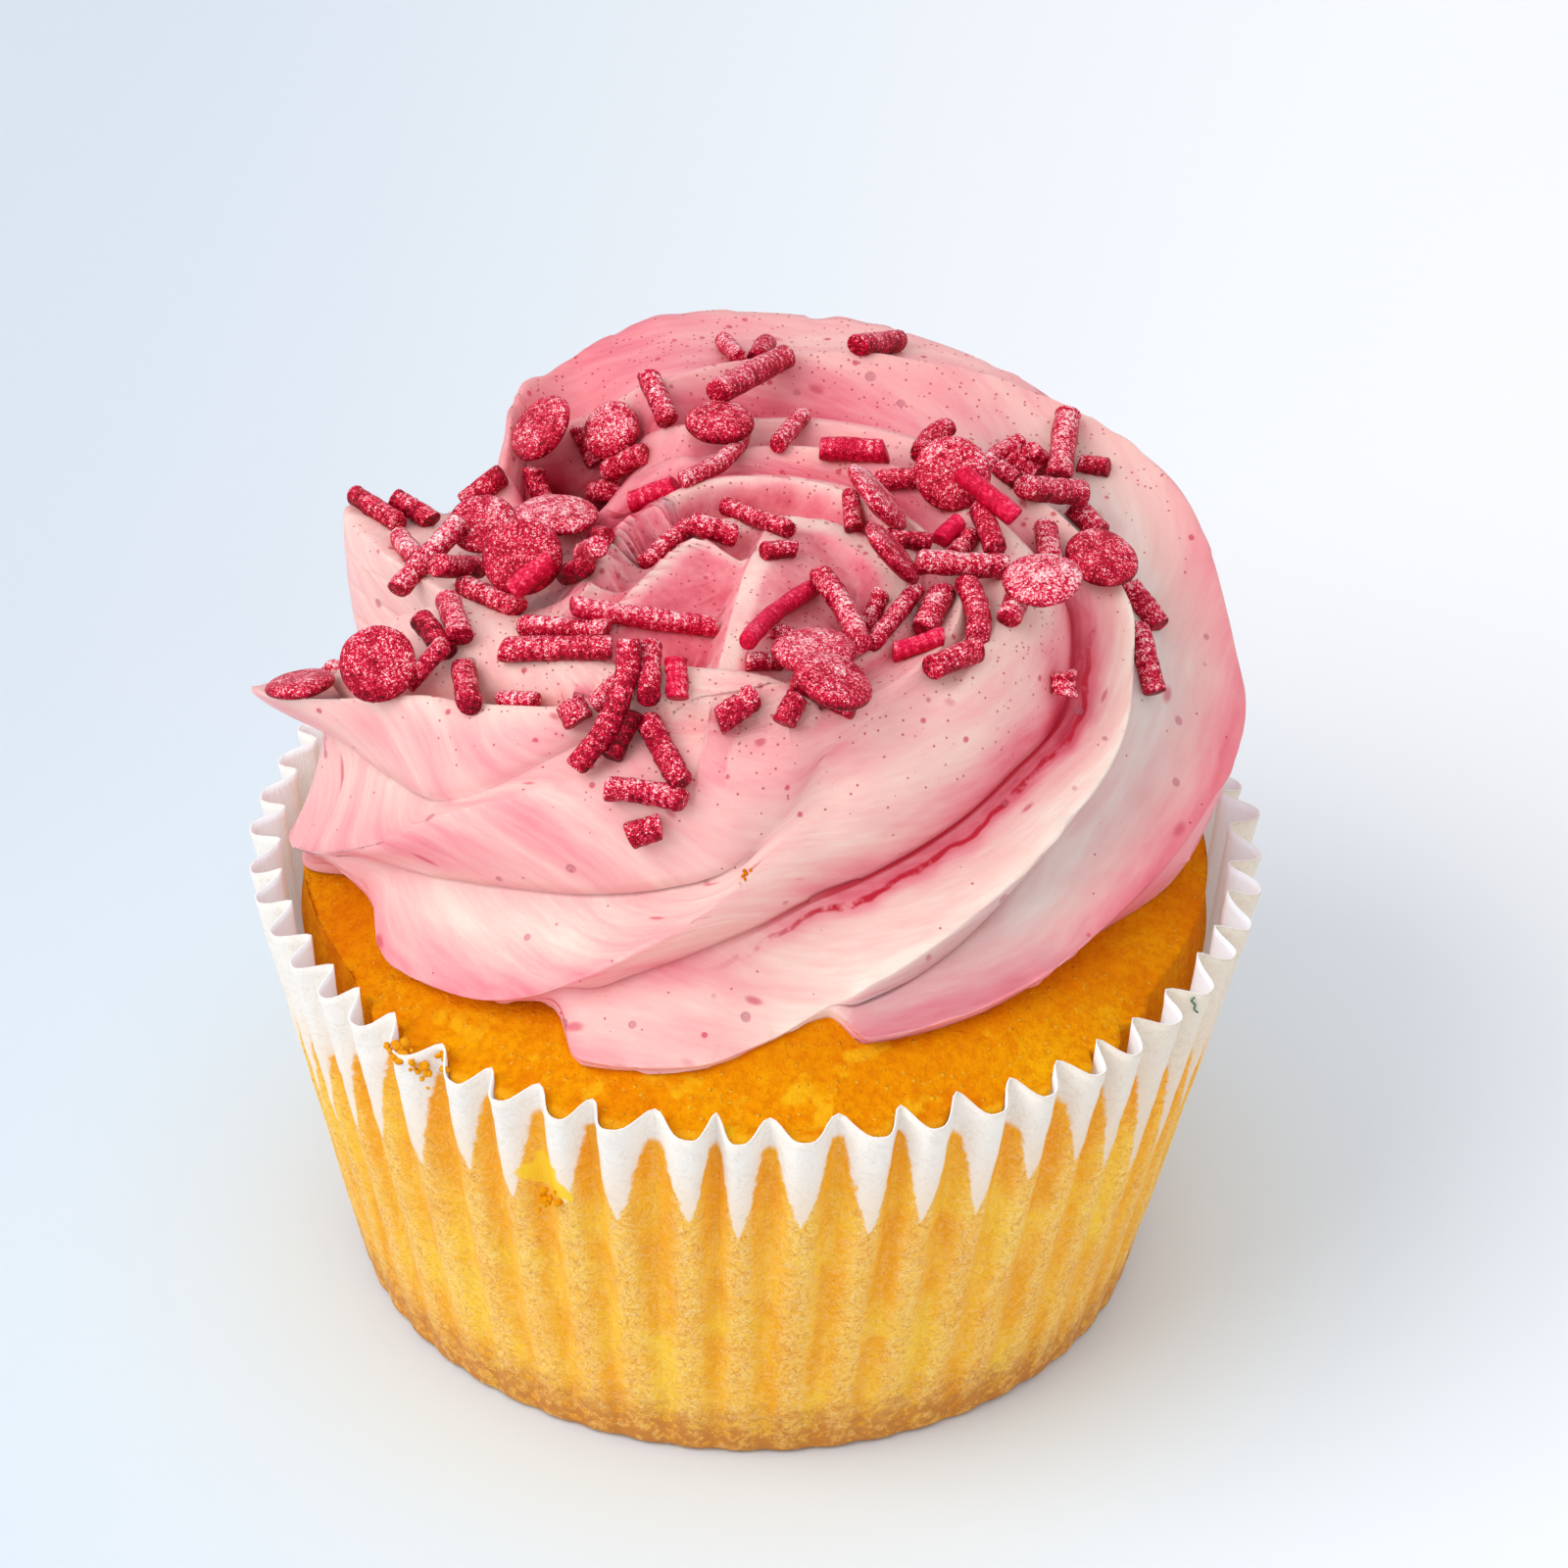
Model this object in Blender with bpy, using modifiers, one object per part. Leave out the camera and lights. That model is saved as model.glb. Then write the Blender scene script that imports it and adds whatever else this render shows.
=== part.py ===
"""Cupcake: a pleated paper case, a domed sponge and a piped buttercream swirl.

The frame has its origin at the middle of the case's base, +Z up.  Lengths are millimetres and
angles degrees until a mesh is written.  Azimuth 0 is +X and grows counter-clockwise.
"""

import bmesh
import bpy
import numpy as np

MM = 0.001
FULL_TURN = 360.0
MERGE = 0.00001
SHARP_ANGLE = 40.0
GAP = 0.35  # clear space between neighbouring pieces

# Paper case
BASE_RADIUS = 25.4
BASE_EDGE = 0.8  # height of the rounded turn from base to wall
PLEATS = 52
PAPER = 0.25
OUTER_FOLD = (32.35, 29.6)  # radius and height of the rim at an outer fold
INNER_FOLD = (30.3, 30.2)
BASE_PLEAT_DEPTH = 0.5
WALL_LEVELS = (0.12, 0.42, 0.72, 1.0)

# Sponge
DOME_TOP = 34.5
DOME_DROP = 5.2  # how far the crust falls from the middle to the paper
DOME_RADIUS = 29.8
DOME_POWER = 3.0
CRUST_STEPS = 8
SPONGE_STEPS = 52
SPONGE_TOP_RADIUS = 29.3
SPONGE_SLANT = 4.9  # how much narrower the sponge is at its base
SPONGE_BASE = PAPER + GAP

# Buttercream: one spiral ridge to a tooth of the piping tip.  Each row of a ridge is azimuth,
# crest radius, crest height, then where the groove on its inner side lies (0 is at the next
# crest in, 1 is at this crest) and how deep that groove is.
RIDGES = {
    "a": (
        (135, 26.0, 44.5, 0.5, 3.5),
        (143, 26.0, 43.2, 0.5, 2.5),
        (151, 30.4, 43.9, 0.5, 1.8),
        (163, 25.5, 46.3, 0.5, 1.5),
        (178, 20.0, 47.5, 0.4, 1.2),
        (200, 15.2, 48.6, 0.4, 1.2),
        (232, 12.4, 49.7, 0.4, 1.0),
        (278, 10.8, 50.0, 0.4, 0.8),
    ),
    "b": (
        (178, 29.0, 40.8, 0.6, 1.5),
        (184, 32.0, 42.0, 0.6, 1.8),
        (204, 22.2, 46.0, 0.5, 1.2),
        (242, 14.7, 48.5, 0.4, 0.8),
        (278, 12.2, 50.0, 0.4, 0.6),
        (352, 9.3, 50.3, 0.4, 0.8),
        (405, 7.6, 50.5, 0.4, 1.0),
        (453, 7.0, 50.0, 0.4, 1.0),
    ),
    "c": (
        (181, 28.4, 31.6, 0.45, 2.5),
        (189, 29.8, 32.0, 0.5, 2.8),
        (196, 29.4, 33.5, 0.5, 2.4),
        (207, 27.0, 37.0, 0.75, 1.2),
        (217, 23.8, 41.0, 0.9, 0.3),
        (239, 19.0, 45.5, 0.3, 0.4),
        (262, 15.5, 47.7, 0.2, 0.5),
        (328, 13.6, 50.3, 0.3, 1.0),
        (400, 10.0, 51.0, 0.35, 1.5),
        (460, 9.7, 51.0, 0.35, 1.2),
        (490, 9.8, 51.0, 0.35, 0.0),
        (540, 10.5, 49.8, 0.35, 0.0),
    ),
    "d": (
        (200, 25.6, 31.8, 0.5, 1.5),
        (217, 27.9, 31.3, 0.5, 2.5),
        (231, 27.2, 32.0, 0.55, 2.2),
        (256, 23.8, 38.0, 0.85, 0.8),
        (269, 20.3, 41.0, 0.95, 0.0),
        (285, 17.1, 44.2, 0.3, 0.2),
        (313, 16.1, 47.5, 0.3, 0.4),
        (333, 15.7, 50.0, 0.3, 0.8),
        (420, 13.0, 51.5, 0.3, 1.5),
        (480, 12.6, 51.0, 0.3, 1.2),
    ),
    "e": (
        (240, 24.6, 31.8, 0.5, 0.5),
        (249, 28.1, 31.2, 0.4, 1.5),
        (262, 27.2, 31.4, 0.4, 1.5),
        (283, 22.9, 33.0, 0.4, 1.6),
        (310, 22.0, 36.0, 0.42, 1.8),
        (350, 23.3, 42.5, 0.6, 1.8),
        (365, 22.6, 45.5, 0.6, 1.8),
        (385, 20.0, 49.0, 0.5, 1.5),
        (420, 17.0, 51.0, 0.4, 1.5),
        (480, 16.2, 51.0, 0.4, 1.2),
    ),
    "f": (
        (281, 22.6, 32.3, 0.2, 0.5),
        (286, 25.4, 32.3, 0.2, 1.0),
        (327, 24.8, 32.7, 0.15, 1.8),
        (344, 26.5, 33.5, 0.15, 2.0),
        (372, 31.5, 38.5, 0.15, 2.0),
        (390, 31.2, 46.3, 0.15, 2.2),
        (408, 29.0, 49.5, 0.2, 2.2),
        (425, 26.0, 51.3, 0.25, 2.0),
        (446, 23.5, 51.8, 0.3, 2.0),
        (480, 20.4, 51.5, 0.3, 1.5),
    ),
    "g": (
        (372, 30.0, 34.0, 0.3, 0.0),
        (395, 31.6, 43.0, 0.3, 0.0),
        (423, 30.9, 49.3, 0.1, 0.6),
        (443, 32.0, 49.5, 0.1, 0.8),
        (462, 31.9, 49.2, 0.1, 0.8),
        (483, 29.4, 47.8, 0.4, 3.0),
        (495, 26.0, 44.5, 0.5, 3.5),
    ),
}
SEAM = 135.0  # azimuth of the notch where the piping starts and ends
TIP_SPREAD = 6.0  # degrees over which a ridge grows out of its tip
END_SPREAD = {"a": 30.0, "b": 30.0, "d": 12.0, "e": 12.0, "f": 12.0}
HAND_OVER = 30.0  # degrees over which the innermost place passes from one ridge to the next
INNER_RIDGES = ("arc", "a", "b")  # these end on the top, before the innermost crest
NOTCH_RIDGES = ("d", "e", "f")  # these end in the notch, between the crests of c and g
SEAM_SPREAD = 12.0
DEEPEST = 0.35  # a groove's greatest depth, as a share of the gap between crests
CENTRE_HEIGHT = 49.4
WALL_BULGE = 0.08  # swell of the outer wall, as a share of its slant
FACE_BULGE = 0.12  # swell of a ridge's outer face
VALLEY_DIP = 0.06  # hollow of the valley inside a crest
# Azimuth and radius of the buttercream's lower edge on the sponge
FOOT = (
    (135, 26.0),
    (165, 25.8),
    (187, 28.8),
    (198, 25.2),
    (215, 26.6),
    (238, 23.6),
    (249, 27.2),
    (262, 26.3),
    (282, 22.8),
    (286, 24.2),
    (327, 23.6),
    (355, 27.0),
    (400, 28.6),
    (460, 28.0),
    (495, 26.0),
)
SWIRL_COLUMNS = 80
RIDGE_ROWS = (2, 2, 4, 4, 4, 4, 4, 4)  # rows inside each crest, from the centre out
WALL_ROWS = 3
UNDERSIDE = (0.86, 0.68, 0.45, 0.2)  # radii of the underside's rings, as shares of the foot's

COLOURS = {
    "paper_case": ((0.93, 0.90, 0.83), 0.75),
    "sponge": ((0.86, 0.47, 0.05), 0.8),
    "buttercream": ((0.93, 0.67, 0.66), 0.45),
}


def smooth_step(value):
    """0 below 0, 1 above 1, with level ends between."""
    share = np.clip(value, 0.0, 1.0)
    return share * share * (3.0 - 2.0 * share)


def curve_through(stations, at):
    """Smooth curve through rows of (position, value, ...) that never overshoots a row."""
    rows = np.array(stations, dtype=float)
    knots, values = rows[:, 0], rows[:, 1:]
    step = np.diff(knots)[:, None]
    rise = np.diff(values, axis=0) / step
    slope = np.zeros_like(values)
    same_way = rise[:-1] * rise[1:] > 0
    total = np.where(same_way, rise[:-1] + rise[1:], 1.0)
    slope[1:-1] = np.where(same_way, 2.0 * rise[:-1] * rise[1:] / total, 0.0)
    at = np.clip(at, knots[0], knots[-1])
    index = np.clip(np.searchsorted(knots, at, side="right") - 1, 0, len(knots) - 2)
    width = step[index]
    t = ((at - knots[index])[:, None]) / width
    start, end = values[index], values[index + 1]
    return (
        start * (1 + 2 * t) * (1 - t) ** 2
        + end * t * t * (3 - 2 * t)
        + width * slope[index] * t * (1 - t) ** 2
        - width * slope[index + 1] * t * t * (1 - t)
    )


def crust_height(radius):
    """Height of the sponge's domed crust at a radius."""
    return DOME_TOP - DOME_DROP * (radius / DOME_RADIUS) ** DOME_POWER


def presence(name, turn):
    """How fully a ridge stands out at each unwound azimuth, from 0 to 1."""
    if name == "arc":
        return smooth_step((RIDGES["c"][-1][0] - FULL_TURN - turn) / HAND_OVER)
    first = RIDGES[name][0][0]
    last = RIDGES[name][-1][0]
    grown = smooth_step((turn - first) / TIP_SPREAD) if first > SEAM else np.ones_like(turn)
    if name not in END_SPREAD:
        return grown
    return grown * smooth_step((last - turn) / END_SPREAD[name])


def outward_normal(along):
    """Unit normal that points out of the buttercream, for a step taken from the centre out."""
    length = np.maximum(np.hypot(along[:, 0], along[:, 1]), 1e-6)[:, None]
    return np.stack([-along[:, 1], along[:, 0]], axis=1) / length


def point_on_wall(top, foot, share):
    """Point on the swelling wall that falls from a crest to the foot."""
    along = foot - top
    slant = np.hypot(along[:, 0], along[:, 1])[:, None]
    swell = 4.0 * share * (1.0 - share) * WALL_BULGE * slant
    return top + share * along + swell * outward_normal(along)


def past_middle(name, turn):
    """Where a ridge that is absent has ended, and not yet to begin."""
    if name == "arc":
        return turn > SEAM
    return turn > 0.5 * (RIDGES[name][0][0] + RIDGES[name][-1][0])


def point_in_notch(inner, outer, share):
    """Point on the two straight slopes of the notch between two crests."""
    along = outer[:, :2] - inner[:, :2]
    drop = outer[:, 3:4] * (1.0 - abs(2.0 * share - 1.0))
    return inner[:, :2] + share * along - drop * outward_normal(along)


def crest_lines(turn):
    """Crests from the centre to the foot, each one's groove, and where the outer wall starts."""
    lines = {name: curve_through(rows, turn) for name, rows in RIDGES.items()}
    lines = {"arc": curve_through(RIDGES["c"], turn + FULL_TURN), **lines}
    foot_radius = curve_through(FOOT, turn)[:, 0]
    foot = np.stack([foot_radius, crust_height(foot_radius) + GAP], axis=1)
    centre = np.stack([np.zeros_like(turn), np.full_like(turn, CENTRE_HEIGHT)], axis=1)

    to_b = smooth_step((turn - RIDGES["a"][-1][0]) / HAND_OVER + 1.0)[:, None]
    to_c = smooth_step((turn - RIDGES["b"][-1][0]) / HAND_OVER + 1.0)[:, None]
    innermost = (1 - to_b) * lines["a"] + to_b * lines["b"]
    innermost = ((1 - to_c) * innermost + to_c * lines["c"])[:, :2]

    crests, grooves = [centre], []
    wall_top = centre
    fallen = np.zeros((len(turn), 1))
    for rank, (name, line) in enumerate(lines.items()):
        there = presence(name, turn)[:, None]
        ended = past_middle(name, turn)[:, None]
        lower = fallen + (1.0 - fallen) / (len(lines) - rank + 1.0)
        away = point_on_wall(wall_top, foot, lower)
        if name in INNER_RIDGES:
            share = (rank + 1.0) / (len(INNER_RIDGES) + 1.0)
            away = np.where(ended, centre + (innermost - centre) * share, away)
        elif name in NOTCH_RIDGES:
            share = (NOTCH_RIDGES.index(name) + 1.0) / (len(NOTCH_RIDGES) + 1.0)
            away = np.where(ended, point_in_notch(lines["c"], lines["g"], share), away)
        crests.append(there * line[:, :2] + (1 - there) * away)
        grooves.append((line[:, 2:3], line[:, 3:4], there))
        wall_top = there * line[:, :2] + (1 - there) * wall_top
        fallen = np.where(ended, 0.0, (1 - there) * lower)
    return crests, grooves, wall_top, fallen, foot


def gap_points(inner, outer, groove, rows):
    """Rows from a crest to the next one out: a swelling face, a groove and a hollow valley."""
    place, depth, there = groove
    along = outer - inner
    normal = outward_normal(along)
    span = np.hypot(along[:, 0], along[:, 1])[:, None]
    depth = np.minimum(depth * there, DEEPEST * span)
    bottom = inner + place * along - depth * normal
    points = []
    for row in range(rows):
        if 2 * row < rows:
            start, end, part, swell = inner, bottom, 2.0 * row / rows, FACE_BULGE
        else:
            start, end, part, swell = bottom, outer, 2.0 * row / rows - 1.0, -VALLEY_DIP
        length = np.hypot(end[:, 0] - start[:, 0], end[:, 1] - start[:, 1])[:, None]
        arch = 4.0 * part * (1.0 - part) * swell * length * there
        points.append(start + part * (end - start) + arch * normal)
    return points


def swirl_rows(turn):
    """Rows of (radius, height) from the centre over every ridge to the foot and back under."""
    crests, grooves, wall_top, fallen, foot = crest_lines(turn)
    rows = []
    for index, groove in enumerate(grooves):
        rows += gap_points(crests[index], crests[index + 1], groove, RIDGE_ROWS[index])
    for row in range(WALL_ROWS):
        rows.append(point_on_wall(wall_top, foot, fallen + (1.0 - fallen) * row / WALL_ROWS))
    rows.append(foot)
    for share in UNDERSIDE:
        radius = foot[:, 0] * share
        rows.append(np.stack([radius, crust_height(radius) + GAP], axis=1))
    return np.array(rows)


def spread_evenly(rows, turn):
    """Slide each column's points along its own line to even steps, fully so at the seam."""
    share = smooth_step(1.0 - np.minimum(turn - SEAM, SEAM + FULL_TURN - turn) / SEAM_SPREAD)
    top_rows = len(rows) - len(UNDERSIDE)
    for column in np.flatnonzero(share):
        points = rows[:top_rows, column]
        steps = np.hypot(*np.diff(points, axis=0).T)
        place = np.concatenate([[0.0], np.cumsum(steps)])
        even = np.linspace(0.0, place[-1], top_rows)
        wanted = place + share[column] * (even - place)
        rows[:top_rows, column] = np.stack([np.interp(wanted, place, axis) for axis in points.T], 1)
    return rows


def add_object(name, mesh, collection):
    """Finish a mesh as a named object with its own material."""
    colour, roughness = COLOURS[name]
    material = bpy.data.materials.new(name)
    material.use_nodes = True
    shader = material.node_tree.nodes["Principled BSDF"]
    shader.inputs["Base Color"].default_value = (*colour, 1.0)
    shader.inputs["Roughness"].default_value = roughness
    mesh.materials.append(material)
    mesh.shade_smooth()
    mesh.set_sharp_from_angle(angle=np.radians(SHARP_ANGLE))
    item = bpy.data.objects.new(name, mesh)
    collection.objects.link(item)
    return item


def make_buttercream(collection):
    """The swirl: rows loft round the axis from the seam, between one top and one bottom point."""
    turn = SEAM + FULL_TURN * np.arange(SWIRL_COLUMNS) / SWIRL_COLUMNS
    rows = spread_evenly(swirl_rows(turn), turn)
    angle = np.radians(turn)
    mesh = bmesh.new()
    rings = []
    for ring in rows[1:]:
        place = np.stack([ring[:, 0] * np.cos(angle), ring[:, 0] * np.sin(angle), ring[:, 1]], 1)
        rings.append([mesh.verts.new(point * MM) for point in place])
    top = mesh.verts.new((0.0, 0.0, CENTRE_HEIGHT * MM))
    bottom = mesh.verts.new((0.0, 0.0, (crust_height(0.0) + GAP) * MM))
    for column in range(SWIRL_COLUMNS):
        after = (column + 1) % SWIRL_COLUMNS
        mesh.faces.new((top, rings[0][column], rings[0][after]))
        mesh.faces.new((bottom, rings[-1][after], rings[-1][column]))
        for upper, lower in zip(rings, rings[1:]):
            mesh.faces.new((upper[column], lower[column], lower[after], upper[after]))
    return add_object("buttercream", written(mesh, "buttercream"), collection)


def written(mesh, name):
    """Turn a bmesh into a mesh of triangles."""
    bmesh.ops.triangulate(mesh, faces=mesh.faces)
    data = bpy.data.meshes.new(name)
    mesh.to_mesh(data)
    mesh.free()
    return data


def make_sponge(collection):
    """The sponge: one turned profile, down the domed crust, the slanted wall and the base."""
    radii = np.linspace(0.0, SPONGE_TOP_RADIUS, CRUST_STEPS)
    base_radius = SPONGE_TOP_RADIUS - SPONGE_SLANT
    profile = [(radius, crust_height(radius)) for radius in radii]
    profile += [(base_radius, SPONGE_BASE + BASE_EDGE), (base_radius - BASE_EDGE, SPONGE_BASE)]
    profile.append((0.0, SPONGE_BASE))
    mesh = bpy.data.meshes.new("sponge")
    points = [(radius * MM, 0.0, height * MM) for radius, height in profile]
    mesh.from_pydata(points, [(i, i + 1) for i in range(len(points) - 1)], [])
    item = add_object("sponge", mesh, collection)
    turned = item.modifiers.new("turned", "SCREW")
    turned.steps = SPONGE_STEPS
    turned.render_steps = SPONGE_STEPS
    turned.use_merge_vertices = True
    turned.merge_threshold = MERGE
    return item


def make_paper_case(collection):
    """The case: a pleated open cup whose folds deepen towards the rim, given its thickness."""
    folds = 2 * PLEATS
    angle = FULL_TURN / folds * np.arange(folds)
    outer = np.arange(folds) % 2 == 0
    mesh = bmesh.new()
    rings = []
    base_fold = np.where(outer, BASE_RADIUS, BASE_RADIUS - BASE_PLEAT_DEPTH)
    rim_radius = np.where(outer, OUTER_FOLD[0], INNER_FOLD[0])
    rim_height = np.where(outer, OUTER_FOLD[1], INNER_FOLD[1])
    levels = [(base_fold - BASE_EDGE, np.zeros(folds))]
    for share in (0.0, *WALL_LEVELS):
        height = BASE_EDGE + share * (rim_height - BASE_EDGE)
        levels.append((base_fold + share * (rim_radius - base_fold), height))
    for radius, height in levels:
        x = radius * np.cos(np.radians(angle))
        y = radius * np.sin(np.radians(angle))
        rings.append([mesh.verts.new(point) for point in np.stack([x, y, height], 1) * MM])
    middle = mesh.verts.new((0.0, 0.0, 0.0))
    for fold in range(folds):
        after = (fold + 1) % folds
        mesh.faces.new((middle, rings[0][after], rings[0][fold]))
        for lower, upper in zip(rings, rings[1:]):
            mesh.faces.new((lower[fold], lower[after], upper[after], upper[fold]))
    item = add_object("paper_case", written(mesh, "paper_case"), collection)
    paper = item.modifiers.new("paper", "SOLIDIFY")
    paper.thickness = PAPER * MM
    paper.offset = -1.0
    return item


def main():
    """Clear the scene and make the three pieces."""
    for item in list(bpy.data.objects):
        bpy.data.objects.remove(item)
    collection = bpy.data.collections.new("cupcake")
    bpy.context.scene.collection.children.link(collection)
    make_paper_case(collection)
    make_sponge(collection)
    make_buttercream(collection)


main()
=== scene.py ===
import math

import bpy
import numpy as np
from mathutils import Matrix, Vector
from mathutils.bvhtree import BVHTree


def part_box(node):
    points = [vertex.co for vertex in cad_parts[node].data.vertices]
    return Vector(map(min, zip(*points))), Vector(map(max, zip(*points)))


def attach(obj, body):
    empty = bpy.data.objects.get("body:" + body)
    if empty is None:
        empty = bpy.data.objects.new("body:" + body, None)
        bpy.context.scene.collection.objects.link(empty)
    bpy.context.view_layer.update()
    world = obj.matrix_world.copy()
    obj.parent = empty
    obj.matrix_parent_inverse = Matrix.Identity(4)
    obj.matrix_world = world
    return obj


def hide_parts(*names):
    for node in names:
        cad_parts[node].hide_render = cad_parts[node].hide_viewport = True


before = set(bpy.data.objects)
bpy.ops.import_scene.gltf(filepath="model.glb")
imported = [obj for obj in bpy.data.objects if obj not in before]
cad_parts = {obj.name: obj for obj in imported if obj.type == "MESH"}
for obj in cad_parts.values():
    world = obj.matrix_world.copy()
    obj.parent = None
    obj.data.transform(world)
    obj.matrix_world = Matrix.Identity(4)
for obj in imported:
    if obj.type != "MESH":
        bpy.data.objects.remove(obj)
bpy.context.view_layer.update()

# Lengths are millimetres and angles degrees until a mesh is written.  Azimuth 0 is +X and grows
# counter-clockwise; the cupcake stands on the floor with its base's middle at the origin.
mm = 0.001
fullTurn = 360.0
caseLow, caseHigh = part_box("paper_case")
middle = np.array([(caseLow.x + caseHigh.x) / 2, (caseLow.y + caseHigh.y) / 2, caseLow.z]) / mm
middle = np.round(middle, 2)
print("stage: frame loaded, case", [round(v / mm, 1) for v in (*caseLow, *caseHigh)])


def smoothStep(value):
    # 0 below 0, 1 above 1, and 3 v^2 - 2 v^3 between
    share = np.clip(value, 0.0, 1.0)
    return share * share * (3.0 - 2.0 * share)


def curveThrough(stations, at):
    # piecewise cubic through rows of (position, values...), its slope at a row the harmonic mean
    # of the slopes on both sides, so it never overshoots a row
    rows = np.array(stations, dtype=float)
    knots, values = rows[:, 0], rows[:, 1:]
    step = np.diff(knots)[:, None]
    rise = np.diff(values, axis=0) / step
    slope = np.zeros_like(values)
    sameWay = rise[:-1] * rise[1:] > 0
    total = np.where(sameWay, rise[:-1] + rise[1:], 1.0)
    slope[1:-1] = np.where(sameWay, 2.0 * rise[:-1] * rise[1:] / total, 0.0)
    at = np.clip(at, knots[0], knots[-1])
    index = np.clip(np.searchsorted(knots, at, side="right") - 1, 0, len(knots) - 2)
    width = step[index]
    t = ((at - knots[index])[:, None]) / width
    start, end = values[index], values[index + 1]
    return (
        start * (1 + 2 * t) * (1 - t) ** 2
        + end * t * t * (3 - 2 * t)
        + width * slope[index] * t * (1 - t) ** 2
        - width * slope[index + 1] * t * t * (1 - t)
    )


def softNoise(points, size, seed):
    # random values on a lattice `size` apart, eased between neighbours: -1 to 1, mean 0
    lattice = np.random.default_rng(seed).random((24, 24, 24))
    cell = np.asarray(points, dtype=float) / size
    corner = np.floor(cell).astype(int)
    part = smoothStep(cell - corner)
    total = np.zeros(cell.shape[:-1])
    for pick in np.ndindex(2, 2, 2):
        index = (corner + pick) % 24
        weight = np.prod(np.where(pick, part, 1.0 - part), axis=-1)
        total += weight * lattice[index[..., 0], index[..., 1], index[..., 2]]
    return 2.0 * total - 1.0


def gridFaces(rows, columns, around):
    # quads between neighbouring rows and columns; `around` joins the last column to the first
    row, column = np.mgrid[0:rows - 1, 0:columns if around else columns - 1]
    after = (column + 1) % columns
    quad = [row * columns + column, (row + 1) * columns + column]
    quad += [(row + 1) * columns + after, row * columns + after]
    return np.stack([corner.ravel() for corner in quad], axis=1)


def fanFaces(ring, tip, flip):
    # triangles from each edge of a closed ring to one point
    after = np.roll(ring, -1)
    fan = np.stack([ring, after, np.full_like(ring, tip)], axis=1)
    return fan[:, ::-1] if flip else fan


def addPiece(name, points, faces, values=None, replaced=None):
    # writes a mesh in metres about the base's middle, with its point attributes, and rides it
    mesh = bpy.data.meshes.new(name)
    flat = [face for group in faces for face in np.asarray(group).tolist()]
    mesh.from_pydata(((np.asarray(points) + middle) * mm).tolist(), [], flat)
    for label, value in (values or {}).items():
        value = np.asarray(value, dtype=np.float32)
        kind, field = ("FLOAT_VECTOR", "vector") if value.ndim == 2 else ("FLOAT", "value")
        mesh.attributes.new(label, kind, "POINT").data.foreach_set(field, value.ravel())
    mesh.shade_smooth()
    mesh.update()
    piece = bpy.data.objects.new(name, mesh)
    bpy.context.scene.collection.objects.link(piece)
    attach(piece, "root")
    if replaced:
        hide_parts(replaced)
    return piece


def outwardNormals(grid):
    # cross product of the steps down the rows and round the columns of a closed lathe-like grid
    down = np.gradient(grid, axis=0)
    padded = np.concatenate([grid[:, -1:], grid, grid[:, :1]], axis=1)
    aroundStep = (padded[:, 2:] - padded[:, :-2]) / 2.0
    normal = np.cross(down, aroundStep)
    return normal / np.maximum(np.linalg.norm(normal, axis=-1, keepdims=True), 1e-9)


# Node helpers: each adds nodes to a material and gives back the last one's output
def addNode(tree, kind, inputs=None, **settings):
    # links the inputs that are sockets and sets the rest
    made = tree.nodes.new(kind)
    for key, value in settings.items():
        setattr(made, key, value)
    for socket, value in (inputs or {}).items():
        if isinstance(value, bpy.types.NodeSocket):
            tree.links.new(value, made.inputs[socket])
        else:
            made.inputs[socket].default_value = value
    return made


def sRgb(red, green, blue):
    # 0-255 display values to a linear colour
    share = np.array([red, green, blue]) / 255.0
    linear = np.where(share <= 0.04045, share / 12.92, ((share + 0.055) / 1.055) ** 2.4)
    return (*[float(v) for v in linear], 1.0)


def calc(tree, operation, first, second=0.0, clamp=False):
    # one sum on numbers
    return addNode(tree, "ShaderNodeMath", {0: first, 1: second}, operation=operation,
                   use_clamp=clamp).outputs[0]


def times(tree, first, second):
    # first x second
    return calc(tree, "MULTIPLY", first, second)


def plus(tree, first, second):
    # first + second
    return calc(tree, "ADD", first, second)


def minus(tree, first, second):
    # first - second
    return calc(tree, "SUBTRACT", first, second)


def unsigned(tree, value):
    # the value without its sign
    return calc(tree, "ABSOLUTE", value)


def fade(tree, value, low, high, to=(0.0, 1.0)):
    # smooth change from to[0] at `low` to to[1] at `high`
    made = addNode(tree, "ShaderNodeMapRange", {"Value": value, "From Min": low, "From Max": high,
                   "To Min": to[0], "To Max": to[1]}, interpolation_type="SMOOTHSTEP")
    return made.outputs[0]


def paint(tree, under, over, amount, share=None, mode="MIX"):
    # lays one colour over another by amount x share
    factor = amount if share is None else times(tree, amount, share)
    made = addNode(tree, "ShaderNodeMix", {0: factor, 6: under, 7: over}, data_type="RGBA",
                   blend_type=mode)
    return made.outputs[2]


def noiseOf(tree, where, scale, detail=2.0, rough=0.5, warp=0.0):
    # soft random values from 0 to 1, mostly near 0.5; `scale` is how many go to a millimetre
    made = addNode(tree, "ShaderNodeTexNoise", {"Vector": where, "Scale": scale, "Detail": detail,
                   "Roughness": rough, "Distortion": warp})
    return made.outputs[0]


def aboutZero(tree, *noise):
    # the same noise moved to lie about 0
    return minus(tree, noiseOf(tree, *noise), 0.5)


def cellsIn(tree, where, scale):
    # distance from the nearest cell's middle, in cells, and that cell's own random number
    cells = addNode(tree, "ShaderNodeTexVoronoi", {"Vector": where, "Scale": scale})
    lot = addNode(tree, "ShaderNodeSeparateColor", {0: cells.outputs["Color"]})
    return cells.outputs["Distance"], lot.outputs[0]


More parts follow.
